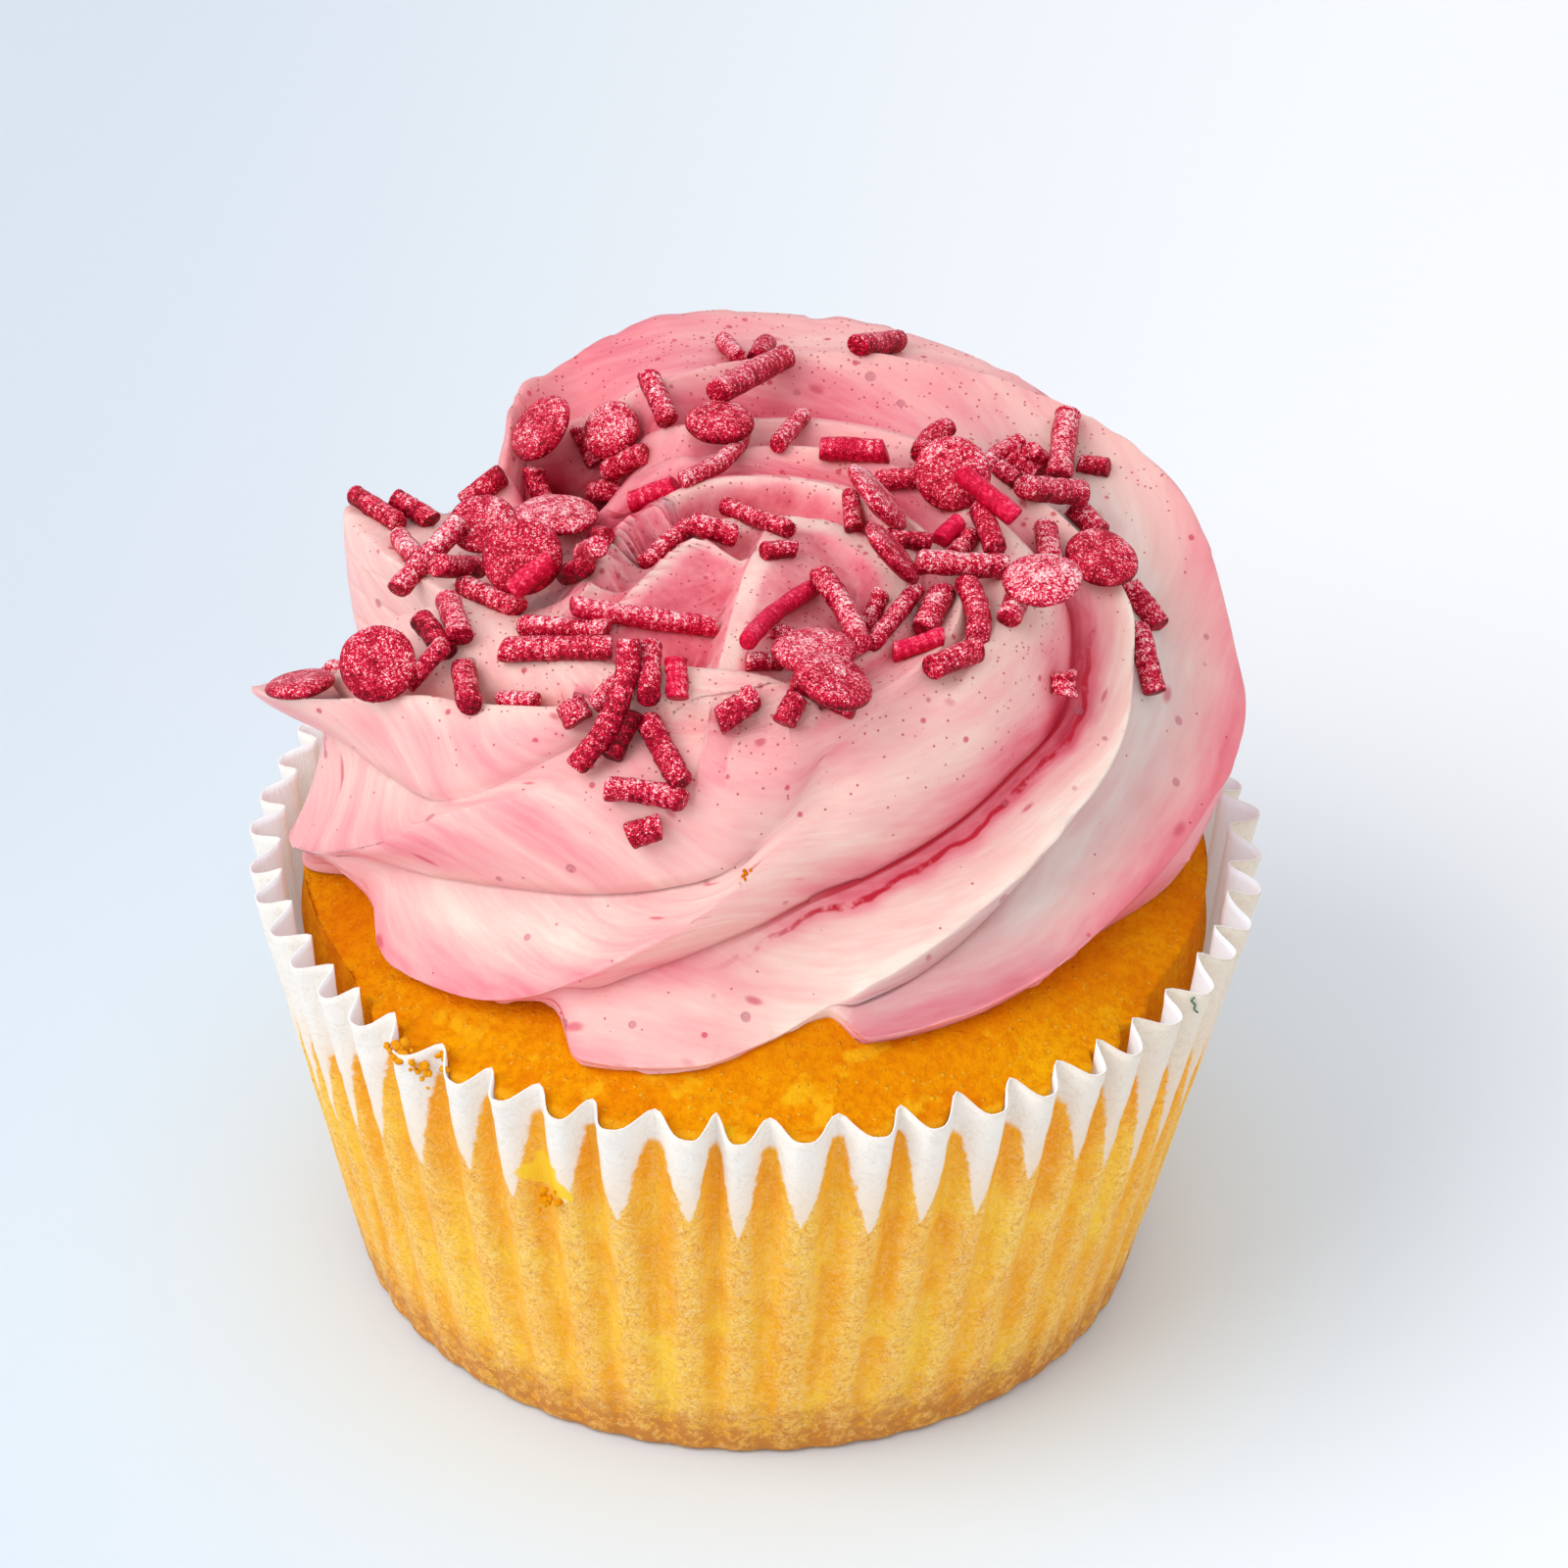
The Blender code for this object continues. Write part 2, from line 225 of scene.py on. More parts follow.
def calcVector(tree, operation, first, second):
    # one sum on places, axis by axis
    return addNode(tree, "ShaderNodeVectorMath", {0: first, 1: second}, operation=operation).outputs[0]


def lengthOf(tree, vector):
    # root of x^2 + y^2 + z^2
    return addNode(tree, "ShaderNodeVectorMath", {0: vector}, operation="LENGTH").outputs[1]


def axisOf(tree, vector, axis):
    # one number of a place: 0 is x, 1 is y and 2 is z
    return addNode(tree, "ShaderNodeSeparateXYZ", {0: vector}).outputs[axis]


def attributeOf(tree, name, vector=False):
    # a value that the mesh carries at its points
    return addNode(tree, "ShaderNodeAttribute", attribute_name=name).outputs[1 if vector else 2]


def rampOf(tree, factor, stops):
    # colours at rising places from 0 to 1, blended evenly between
    made = addNode(tree, "ShaderNodeValToRGB", {0: factor})
    elements = made.color_ramp.elements
    elements.remove(elements[1])
    elements[0].position, elements[0].color = stops[0]
    for place, colour in stops[1:]:
        elements.new(place).color = colour
    return made.outputs[0]


def inMillimetres(tree, stretch=(1.0, 1.0, 1.0)):
    # object coordinates scaled to millimetres, optionally stretched
    where = addNode(tree, "ShaderNodeTexCoord").outputs["Object"]
    scale = tuple(1.0 / (mm * part) for part in stretch)
    return addNode(tree, "ShaderNodeMapping", {"Vector": where, "Scale": scale}).outputs[0]


def bumpOf(tree, height, strength, distance, after=None):
    # leans the surface's normal with a height in millimetres, on top of another bump
    inputs = {"Height": height, "Strength": strength, "Distance": distance * mm}
    if after:
        inputs["Normal"] = after
    return addNode(tree, "ShaderNodeBump", inputs).outputs[0]


def newMaterial(name, **sockets):
    # a Principled material with fixed values on its sockets, whose names have _ for a space here
    made = bpy.data.materials.new(name)
    made.use_nodes = True
    shader = made.node_tree.nodes["Principled BSDF"]
    for socket, value in sockets.items():
        shader.inputs[socket.replace("_", " ")].default_value = value
    return made, made.node_tree, shader


studio = {
    "aim": (1.7, 0.0, 34.1),  # from the base's middle
    "distance": 508.0,
    "elevation": 34.2,  # degrees
    "roll": 1.56,  # degrees
    "sensor": 36.0,
    "lens": 184.1,
    "nearest": 10.0,  # nothing closer is drawn
    "keyFrom": (-430.0, -260.0, 520.0),
    "keyAt": (0.0, 0.0, 25.0),
    "keySize": 600.0,
    "keyPower": 2.5,  # watts
    "skyColour": (0.975, 0.985, 1.0),
    "skyStrength": 0.86,
}


def lookFrom(start, aim, roll=0.0):
    # places an object so that its -Z points at the aim and its +Y is up, then rolls it
    ahead = (Vector(aim) - Vector(start)).normalized()
    side = ahead.cross(Vector((0, 0, 1))).normalized()
    turned = Matrix((side, side.cross(ahead), -ahead)).transposed().to_4x4()
    turned.translation = Vector(start) * mm
    return turned @ Matrix.Rotation(math.radians(roll), 4, "Z")


def makeStudio():
    # camera at a distance and a rise from its aim, one round soft lamp, and an even sky
    aim = np.array(studio["aim"]) + middle
    rise = math.radians(studio["elevation"])
    back = studio["distance"] * np.array([0.0, -math.cos(rise), math.sin(rise)])
    camera = bpy.data.cameras.new("camera")
    camera.sensor_width = studio["sensor"]
    camera.lens = studio["lens"]
    camera.clip_start = studio["nearest"] * mm
    holder = bpy.data.objects.new("camera", camera)
    holder.matrix_world = lookFrom(aim + back, aim, studio["roll"])
    bpy.context.scene.collection.objects.link(holder)
    bpy.context.scene.camera = holder
    key = bpy.data.lights.new("softbox", "AREA")
    key.shape = "DISK"
    key.size = studio["keySize"] * mm
    key.energy = studio["keyPower"]
    lamp = bpy.data.objects.new("softbox", key)
    lamp.matrix_world = lookFrom(studio["keyFrom"], studio["keyAt"])
    bpy.context.scene.collection.objects.link(lamp)
    sky = bpy.data.worlds.new("studio")
    sky.use_nodes = True
    shine = sky.node_tree.nodes["Background"]
    shine.inputs["Color"].default_value = (*studio["skyColour"], 1.0)
    shine.inputs["Strength"].default_value = studio["skyStrength"]
    bpy.context.scene.world = sky
    bpy.context.scene.view_settings.view_transform = "Standard"


backdrop = {
    "halfWidth": 3000.0,  # of both pieces
    "columns": 9,
    "flatRows": (-3000.0, -600.0, 0.0, 600.0),  # how far back the floor's rows lie
    "bendFrom": 1500.0,
    "bendRadius": 500.0,
    "bendRows": 17,
    "top": 3000.0,  # height of the backdrop
    # left and right: darker and bluer to the left, lighter to the right, a painted shade across floor and
    # backdrop
    "left": sRgb(212, 222, 232),
    "right": sRgb(249, 250, 252),
    "paintedLightAcross": (-75.0, 65.0),  # x at which it is `left` and `right`
    # round: bluer near the cup, a painted correction of the warm light bounced from the golden case
    "round": sRgb(222, 240, 255),
    "roundReach": (85.0, 30.0),  # distance at which the tint by the cup begins, and is full
    "roundShare": 0.6,
}


def makeFloor():
    # a flat floor that turns up into a backdrop along a quarter circle behind the cupcake
    flat, radius = backdrop["flatRows"], backdrop["bendRadius"]
    end = backdrop["bendFrom"] + radius
    across = np.linspace(-backdrop["halfWidth"], backdrop["halfWidth"], backdrop["columns"])
    bend = np.radians(np.linspace(0.0, 90.0, backdrop["bendRows"]))
    run = np.concatenate([flat, backdrop["bendFrom"] + radius * np.sin(bend), [end]])
    lift = np.concatenate([np.zeros(len(flat)), radius - radius * np.cos(bend), [backdrop["top"]]])
    x, y = np.meshgrid(across, run)
    z = np.repeat(lift[:, None], len(across), axis=1)
    points = np.stack([x, y, z], axis=-1)
    for name, keep in (("floor", slice(0, len(flat) + 1)), ("backdrop", slice(len(flat), None))):
        part = points[keep]
        mesh = bpy.data.meshes.new(name)
        faces = gridFaces(part.shape[0], part.shape[1], False)[:, ::-1]
        mesh.from_pydata((part.reshape(-1, 3) * mm).tolist(), [], faces.tolist())
        mesh.shade_smooth()
        mesh.materials.append(paleCard)
        item = bpy.data.objects.new(name, mesh)
        bpy.context.scene.collection.objects.link(item)


def makePaleCard():
    # pale card, darker and bluer to the left as painted shade, and bluer round the cup, painted against the
    # warm light that the golden case throws on the floor
    made, tree, shader = newMaterial("pale card", Roughness=0.7)
    where = inMillimetres(tree)
    across = fade(tree, axisOf(tree, where, 0), *backdrop["paintedLightAcross"])
    colour = paint(tree, backdrop["left"], backdrop["right"], across)
    near = fade(tree, lengthOf(tree, where), *backdrop["roundReach"], (0.0, backdrop["roundShare"]))
    colour = paint(tree, colour, backdrop["round"], near)
    tree.links.new(colour, shader.inputs["Base Color"])
    return made


paleCard = makePaleCard()
makeStudio()
makeFloor()
print("stage: camera, light and floor made")


# The cup's pleats, how far each leans sideways at the rim, in pleats, and how sharp an inner fold
# is.  The cup clings to the sponge where the sine of the azimuth is under `clings`.
pleats = {
    "count": 52,
    "lean": 0.2,
    "sharpness": 1.45,
    "clings": -0.82,
    "loosensOver": 0.4,
}
pleatLean = pleats["lean"] * np.random.default_rng(7).uniform(-1, 1, pleats["count"])


def pleatAngle(place, share):
    # azimuth of a place counted in pleats: 360 (place + lean x share of the wall's height) / count
    lean = np.interp(place, np.arange(pleats["count"] + 1), np.append(pleatLean, pleatLean[0]))
    return np.radians(fullTurn) * (place + lean * share) / pleats["count"]


def pleatFold(place):
    # 1 on a broad outer fold, 0 on a tight inner one: 0.5 + 0.5 cos(pi x side ^ sharpness)
    side = 2.0 * np.abs(place - np.floor(place + 0.5))
    return 0.5 + 0.5 * np.cos(np.pi * side ** pleats["sharpness"]), side


def looseness(angle):
    # 0 in front, where the cup clings to the sponge, and 1 at the sides and back, where it stands off
    return smoothStep((np.sin(angle) - pleats["clings"]) / pleats["loosensOver"])


sponge = {
    "domeTop": 34.5,  # height at the middle
    "domeDrop": 5.2,  # fall at domeRadius
    "domeRadius": 29.8,
    "domePower": 3.0,
    "edgeRadius": 29.75,
    "baseRadius": 24.4,
    "baseHeight": 0.4,
    "perPleat": 10,
    "crustRows": 56,
    "crustSpread": 0.7,  # under 1 the rings crowd the edge
    "wallDrops": (0.06, 0.25, 0.6, 1.0, 2.0, 4.0, 8.0, 14.0, 20.0, 26.0),  # rings below the edge
    "wallProud": 0.25,  # past the edge of the crust
    "swell": 1.5,  # into each outer fold
    "swellOver": 0.5,
    "standOff": 1.2,  # gap where the cup is loose
    "standOffDepth": 6.0,  # and how far down it reaches
    "baseRings": (23.5, 12.0),
    "bareFrom": 15.0,  # radius past which the crust is rough
    "bareOver": 6.0,
    "lump": 0.22,
    "lumpSizes": (7.0, 2.6),
    "crumb": 0.09,
    "crumbSize": 0.9,
}


def crustHeight(radius):
    # the dome's top less drop x (radius / dome radius) ^ power
    return sponge["domeTop"] - sponge["domeDrop"] * (radius / sponge["domeRadius"]) ** sponge["domePower"]


def makeSponge():
    # rings from the dome's middle out over the crust, round its edge and down the fluted wall
    columns = sponge["perPleat"] * pleats["count"]
    place = np.arange(columns) / sponge["perPleat"]
    flute = pleatFold(place)[0]
    loose = looseness(pleatAngle(place, 1.0))
    steps = np.linspace(0.0, 1.0, sponge["crustRows"] + 1)[1:]
    radius = sponge["edgeRadius"] * steps ** sponge["crustSpread"]
    height = crustHeight(radius)
    rings = [(np.full(columns, r), np.full(columns, z), r / radius[-1]) for r, z in zip(radius, height)]
    proud = sponge["wallProud"]
    for drop in sponge["wallDrops"]:
        z = height[-1] - drop
        share = z / height[-1]
        wall = sponge["baseRadius"] + (sponge["edgeRadius"] + proud - sponge["baseRadius"]) * share
        begun = smoothStep((drop + 0.5 * sponge["swellOver"]) / sponge["swellOver"])
        swell = sponge["swell"] * begun * share * flute * (1 - loose)
        upper = smoothStep((sponge["standOffDepth"] - drop) / sponge["standOffDepth"])
        held = sponge["standOff"] * loose * upper
        rings.append((wall + swell - held, np.full(columns, z), share))
    for radius in sponge["baseRings"]:
        rings.append((np.full(columns, radius), np.full(columns, sponge["baseHeight"]), 0.0))
    angles = np.array([pleatAngle(place, share) for r, z, share in rings])
    radius, height = np.array([r for r, z, share in rings]), np.array([z for r, z, share in rings])
    inner = np.arange(len(rings))[:, None] < sponge["crustRows"]
    radius = np.where(inner, radius * (1 - sponge["standOff"] / sponge["edgeRadius"] * loose), radius)
    grid = np.stack([radius * np.cos(angles), radius * np.sin(angles), height], axis=-1)
    broad, narrow = sponge["lumpSizes"]
    rough = softNoise(grid, broad, 11) + 0.5 * softNoise(grid, narrow, 12)
    fine = softNoise(grid, sponge["crumbSize"], 13)
    away = np.hypot(grid[..., 0], grid[..., 1])
    bare = smoothStep((away - sponge["bareFrom"]) / sponge["bareOver"])
    onCrust = (np.arange(len(rings)) <= sponge["crustRows"])[:, None] * bare
    grid[..., 2] += onCrust * (sponge["lump"] * rough + sponge["crumb"] * fine)
    ends = [(0, 0, sponge["domeTop"]), (0, 0, sponge["baseHeight"])]
    points = np.concatenate([grid.reshape(-1, 3), ends])
    count = len(rings) * columns
    ring = np.arange(columns)
    faces = [gridFaces(len(rings), columns, True)]
    faces += [fanFaces(ring, count, False), fanFaces(ring + count - columns, count + 1, True)]
    piece = addPiece("sponge_crust", points, faces, replaced="sponge")
    piece.data.materials.append(goldenCrumb)
    return piece


crumbLook = {
    # place on the patches' noise, and colour
    "baked": ((0.3, sRgb(240, 134, 2)), (0.5, sRgb(250, 160, 3)), (0.7, sRgb(255, 184, 10))),
    "bakedScale": 0.16,
    # pore: darker orange in the pores, painted shade in these hollows
    "pore": sRgb(222, 108, 1),
    "poreScale": 1.6,
    "poreShare": 0.5,
    "crumb": sRgb(255, 194, 60),
    "crumbScale": 1.7,
    "crumbOften": 0.42,  # share of cells with a crumb
    "crumbShare": 0.5,
    # byIcing: deeper orange under the icing's edge, painted shade
    "byIcing": sRgb(226, 114, 1),
    "byIcingAt": (28.5, 24.0),  # radii where it begins, and is full
    "byIcingShare": 0.5,
    # byPaper: yellower where crust and crumbs meet the paper, painted light
    "byPaper": sRgb(255, 182, 36),
    "byPaperAt": (30.6, 31.2),  # radii too
    "byPaperShare": 0.6,
    "atBack": sRgb(238, 222, 212),
    "atBackFrom": (-27.0, -10.0),  # y
    "atBackShares": (0.05, 0.9),
    "torn": sRgb(255, 196, 30),
    "tornScale": 0.3,
    "tornFrom": (-14.0, -26.0),  # y
    "tornShare": 0.6,
    "fineScale": 5.0,
    # strength and height of pores, fine grain and crumbs
    "bumps": ((0.8, 0.42), (0.5, 0.15), (0.5, 0.2)),
}


def makeGoldenCrumb():
    # baked yellow sponge: deeper orange in patches, fine pores and paler crumbs on top, with painted shade
    # in the pores and under the icing's edge
    look = crumbLook
    made, tree, shader = newMaterial("golden sponge", Roughness=0.9, Specular_IOR_Level=0.04)
    where = inMillimetres(tree)
    colour = rampOf(tree, noiseOf(tree, where, look["bakedScale"], 3.0, 0.55), look["baked"])
    pores = noiseOf(tree, where, look["poreScale"], 5.0, 0.7)
    # darker in the pores: painted shade in the hollows
    poreShade = minus(tree, 1.0, fade(tree, pores, 0.36, 0.6))
    colour = paint(tree, colour, look["pore"], poreShade, look["poreShare"])
    gap, lot = cellsIn(tree, where, look["crumbScale"])
    seen = calc(tree, "LESS_THAN", lot, look["crumbOften"])
    pale = times(tree, fade(tree, gap, 0.32, 0.14), seen)
    colour = paint(tree, colour, look["crumb"], pale, look["crumbShare"])
    # deeper orange by the icing, painted shade under its edge; yellower by the paper, painted light; and
    # darker away from the front
    outward = lengthOf(tree, calcVector(tree, "MULTIPLY", where, (1.0, 1.0, 0.0)))
    inner = fade(tree, outward, *look["byIcingAt"], (0.0, look["byIcingShare"]))
    colour = paint(tree, colour, look["byIcing"], inner)
    outer = fade(tree, outward, *look["byPaperAt"], (0.0, look["byPaperShare"]))
    colour = paint(tree, colour, look["byPaper"], outer)
    along = axisOf(tree, where, 1)
    back = fade(tree, along, *look["atBackFrom"], look["atBackShares"])
    colour = paint(tree, colour, look["atBack"], back, mode="MULTIPLY")
    # torn, brighter crumb in places towards the front
    torn = fade(tree, noiseOf(tree, where, look["tornScale"], 3.0, 0.6), 0.56, 0.66)
    torn = times(tree, torn, fade(tree, along, *look["tornFrom"]))
    colour = paint(tree, colour, look["torn"], torn, look["tornShare"])
    tree.links.new(colour, shader.inputs["Base Color"])
    bump = None
    for height, deep in zip((pores, noiseOf(tree, where, look["fineScale"], 3.0), pale), look["bumps"]):
        bump = bumpOf(tree, height, *deep, bump)
    tree.links.new(bump, shader.inputs["Normal"])
    return made


goldenCrumb = makeGoldenCrumb()
makeSponge()
print("stage: sponge made")


paperCase = {
    "perPleat": 14,
    "baseRadius": 25.4,
    "baseEdge": 0.8,  # radius of the rounded edge
    "basePleat": 0.5,  # depth of the pleats there
    "baseRings": (8.0, 16.0, 21.0, 23.4),
    "edgeTurns": (0.0, 30.0, 60.0),  # degrees round that edge
    "outerRim": (32.3, 29.6),  # radius and height of an outer fold
    "outerRimVaries": (0.3, 0.25),  # by chance, from pleat to pleat
    "innerRim": (30.3, 30.3),  # and of an inner one
    "innerRimVaries": (0.15, 0.35),
    "rimPower": 0.8,  # over 1 the rim's points are tight
    "flap": (7.0, 9.4),  # length of the white flaps
    "levels": 44,
    "levelSpread": 0.85,  # under 1 the rings crowd the rim
    "pocket": (0.35, 2.2),  # share of a fold's depth at the base, and the power it grows by
    "crumple": (0.05, 0.03),  # at the base, and what is added at the rim
    "crumpleSizes": (1.6, 0.8),
    "thickness": 0.11,
    "torn": (-12.2, -27.9, 23.2),
}


def makePaperCase():
    # a cup whose radius swings between an inner and an outer fold once a pleat; the swing grows
    # from the base to the rim, the outer folds are broad and the inner ones tight
    case = paperCase
    count = pleats["count"]
    columns = count * case["perPleat"]
    place = np.arange(columns) / case["perPleat"]
    pleat = np.floor(place + 0.5).astype(int) % count
    fold, side = pleatFold(place)
    chance = np.random.default_rng(8)
    reach = chance.uniform(-1, 1, count)[pleat]
    tall = chance.uniform(-1, 1, count + 1)[np.floor(place).astype(int) % count]
    tip = chance.uniform(*case["flap"], count)
    share = np.linspace(0.0, 1.0, case["levels"]) ** case["levelSpread"]
    rings, values = [], {"foldSide": [], "below": [], "whiteTip": [], "wallShare": []}
    outerR = case["outerRim"][0] + case["outerRimVaries"][0] * reach
    outerZ = case["outerRim"][1] + case["outerRimVaries"][1] * reach
    innerR = case["innerRim"][0] + case["innerRimVaries"][0] * tall
    rimR = innerR + (outerR - innerR) * fold
    rimZ = case["innerRim"][1] + case["innerRimVaries"][1] * tall * (1 - fold)
    rimZ = rimZ + (outerZ - rimZ) * (fold ** case["rimPower"])
    outerBase = case["baseRadius"]
    least, power = case["pocket"]
    baseFold, rimFold = case["basePleat"] * (1 - fold), outerR - rimR
    baseR = outerBase - least * baseFold
    edge = case["baseEdge"]

    def addRing(radius, height, part, turnShare):
        # one ring of points, with what the paper's colours read there
        angle = pleatAngle(place, turnShare)
        rings.append(np.stack([radius * np.cos(angle), radius * np.sin(angle), height], 1))
        values["foldSide"].append(side * np.pi * radius / count)
        values["below"].append(np.hypot(rimZ - height, rimR - radius))
        values["whiteTip"].append(tip[pleat])
        values["wallShare"].append(np.full(columns, part))

    for radius in case["baseRings"]:
        addRing(np.full(columns, radius), np.zeros(columns), 0.0, 0.0)
    for turn in np.radians(case["edgeTurns"]):
        rise = np.full(columns, edge * (1 - np.cos(turn)))
        addRing(baseR - edge + edge * np.sin(turn), rise, 0.0, 0.0)
    for part in share:
        height = edge + part * (rimZ - edge)
        pocket = (least + (1.0 - least) * part ** power) * (baseFold + part * (rimFold - baseFold))
        swing = outerBase + part * (outerR - outerBase) - pocket
        addRing(swing, height, part, part)
    grid = np.array(rings)
    wallRows = len(share)
    normal = outwardNormals(grid)
    # soft crumples in the paper, deeper towards the rim
    broad, narrow = case["crumpleSizes"]
    crumple = softNoise(grid * (1, 1, 0.5), broad, 21) + 0.6 * softNoise(grid, narrow, 22)
    amount = np.zeros(len(rings))
    amount[-wallRows:] = case["crumple"][0] + case["crumple"][1] * share
    grid = grid + normal * (amount[:, None] * crumple)[..., None]
    points = np.concatenate([grid.reshape(-1, 3), [(0.0, 0.0, 0.0)]])
    flat = {label: np.append(np.array(value).ravel(), 0.0) for label, value in values.items()}
    flat["outside"] = points
    flat["loose"] = looseness(np.arctan2(points[:, 1], points[:, 0]))
    faces = [gridFaces(len(rings), columns, True)[:, ::-1]]
    faces += [fanFaces(np.arange(columns), len(points) - 1, True)]
    piece = addPiece("pleated_paper", points, faces, flat, replaced="paper_case")
    wall = piece.modifiers.new("paper", "SOLIDIFY")
    wall.thickness = case["thickness"] * mm
    wall.offset = -1.0
    piece.data.materials.append(bakedPaper)
    return piece


paperLook = {
    "flapHalf": 1.85,  # half width at the rim
    "flapPower": 0.75,
    "flapRagged": 0.35,
    "looseFlap": 6.5,  # longer flaps where the cup is loose
    "looseRim": 4.2,  # and a wider white rim
    "rimBand": (2.9, 2.2),  # distance below the rim where gold begins and is full
    "rimUneven": 5.0,
    "white": sRgb(247, 240, 232),
    "whiteTip": sRgb(250, 226, 200),
    # within: bluish white for the inner side, painted against the pink light the icing throws on it
    "within": sRgb(232, 240, 246),  # the inner side
    # paintedGlow: how strongly the inner side glows, painted light standing in for light through the thin
    # rim
    "paintedGlow": 0.22,  # light through the thin rim
    "crease": sRgb(226, 210, 194),
    "creaseShare": 0.35,
    "shade": sRgb(240, 232, 220),
    "shadeFrom": (12.0, 30.0),  # x
    "shadeShare": 0.8,
    "gold": sRgb(247, 170, 14),
    "goldPale": sRgb(253, 190, 50),
    "goldYellow": sRgb(254, 212, 62),
    "yellowShare": 0.6,
    "goldDeep": sRgb(248, 162, 8),
    "deepFrom": (11.0, 4.0),  # distance below the rim
    "deepShare": 0.4,
    "fold": sRgb(252, 202, 100),
    "foldShare": 0.5,
    "foldReach": (1.2, 0.35),  # distance from an outer fold
    "baseBand": (0.17, 0.01),  # share of the wall's height
    "scorch": sRgb(200, 124, 46),
    "scorchShares": (0.35, 0.95),  # least and most
    # scale, width, share and colour
    "squiggles": ((0.62, 0.02, 0.75, sRgb(204, 110, 26)), (1.2, 0.03, 0.7, sRgb(216, 128, 44)),
                  (0.9, 0.03, 0.55, sRgb(255, 230, 168))),
    "tornReach": (1.9, 1.6),  # distance from the torn place
    "torn": sRgb(254, 208, 46),
    "fibre": (0.4, 0.12),  # strength and height of the bump
}


def makeBakedPaper():
    # white greaseproof paper: dry and white at the rim and down each outer fold to a point,
    # golden where it clings to the sponge, browned in squiggles lower down and at the base
    look = paperLook
    made, tree, shader = newMaterial("baked paper", Roughness=0.58, Specular_IOR_Level=0.25)
    where = inMillimetres(tree)
    side = attributeOf(tree, "foldSide")
    below = attributeOf(tree, "below")
    loose = attributeOf(tree, "loose")
    flapLength = plus(tree, attributeOf(tree, "whiteTip"), times(tree, loose, look["looseFlap"]))
    drop = calc(tree, "DIVIDE", below, flapLength)
    wobble = aboutZero(tree, where, 0.9, 2.0)
    # half width of the white flap: half (1 - share of its length) ^ power, its edge ragged
    left = calc(tree, "MAXIMUM", minus(tree, 1.0, drop), 0.0)
    half = times(tree, look["flapHalf"], calc(tree, "POWER", left, look["flapPower"]))
    ragged = times(tree, plus(tree, wobble, aboutZero(tree, where, 2.4, 3.0)), look["flapRagged"])
    flap = fade(tree, minus(tree, plus(tree, half, ragged), side), -0.04, 0.16)
    flap = times(tree, flap, fade(tree, drop, 1.02, 0.97))
    level = times(tree, aboutZero(tree, where, 0.12, 1.0), look["rimUneven"])
    level = minus(tree, level, times(tree, loose, look["looseRim"]))
    rim = plus(tree, below, plus(tree, level, wobble))
    dry = calc(tree, "MAXIMUM", flap, fade(tree, rim, *look["rimBand"]))
    # the inner side, a paper's thickness from the outer one, is white too
    apart = calcVector(tree, "SUBTRACT", where, attributeOf(tree, "outside", vector=True))
    within = fade(tree, lengthOf(tree, apart), 0.05, 0.08)
    dry = calc(tree, "MAXIMUM", dry, within)
    white = paint(tree, look["white"], look["whiteTip"], fade(tree, drop, 0.15, 1.0))
    # faint creases in the dry paper, and more shade on the right
    crease = fade(tree, unsigned(tree, aboutZero(tree, where, 0.7, 4.0, 0.6, 1.0)), 0.03, 0.005)
    white = paint(tree, white, look["crease"], crease, look["creaseShare"])
    shade = fade(tree, axisOf(tree, where, 0), *look["shadeFrom"], (0.0, look["shadeShare"]))
    white = paint(tree, white, look["shade"], shade, mode="MULTIPLY")
    # the inner side bluish white, painted against the pink light bounced on it
    white = paint(tree, white, look["within"], within)
    # golden cling, yellower on some pleats
    streak = noiseOf(tree, inMillimetres(tree, (1.0, 1.0, 6.0)), 0.8, 3.0)
    gold = paint(tree, look["gold"], look["goldPale"], fade(tree, streak, 0.35, 0.65))
    broad = fade(tree, noiseOf(tree, where, 0.16, 2.0), 0.48, 0.66)
    gold = paint(tree, gold, look["goldYellow"], broad, look["yellowShare"])
    gold = paint(tree, gold, look["goldDeep"], fade(tree, below, *look["deepFrom"]), look["deepShare"])
    onFold = fade(tree, side, *look["foldReach"])
    gold = paint(tree, gold, look["fold"], onFold, look["foldShare"])
    # wriggling lines, browned or pale, thickest along the outer folds and at the base
    low = plus(tree, attributeOf(tree, "wallShare"), times(tree, wobble, 0.14))
    low = fade(tree, low, *look["baseBand"])
    often = plus(tree, times(tree, onFold, 0.35), times(tree, low, 0.6))
    often = calc(tree, "ADD", often, 0.4, clamp=True)
    for scale, width, much, ink in look["squiggles"]:
        place = calcVector(tree, "ADD", where, (scale * 40, 0.0, 9.0))
        twist = unsigned(tree, aboutZero(tree, place, scale, 4.0, 0.62, 1.4))
        line = fade(tree, twist, width, width * 0.3)
        gold = paint(tree, gold, ink, line, times(tree, often, much))
    scorch = fade(tree, noiseOf(tree, where, 1.3, 4.0, 0.7), 0.38, 0.58)
    scorch = fade(tree, scorch, 0.0, 1.0, look["scorchShares"])
    gold = paint(tree, gold, look["scorch"], low, scorch)
    colour = paint(tree, gold, white, dry)
    # a torn place where bare sponge shows
    gap = lengthOf(tree, calcVector(tree, "SUBTRACT", where, paperCase["torn"]))
    gap = plus(tree, gap, times(tree, wobble, 2.4))
    colour = paint(tree, colour, look["torn"], fade(tree, gap, *look["tornReach"]))
    tree.links.new(colour, shader.inputs["Base Color"])
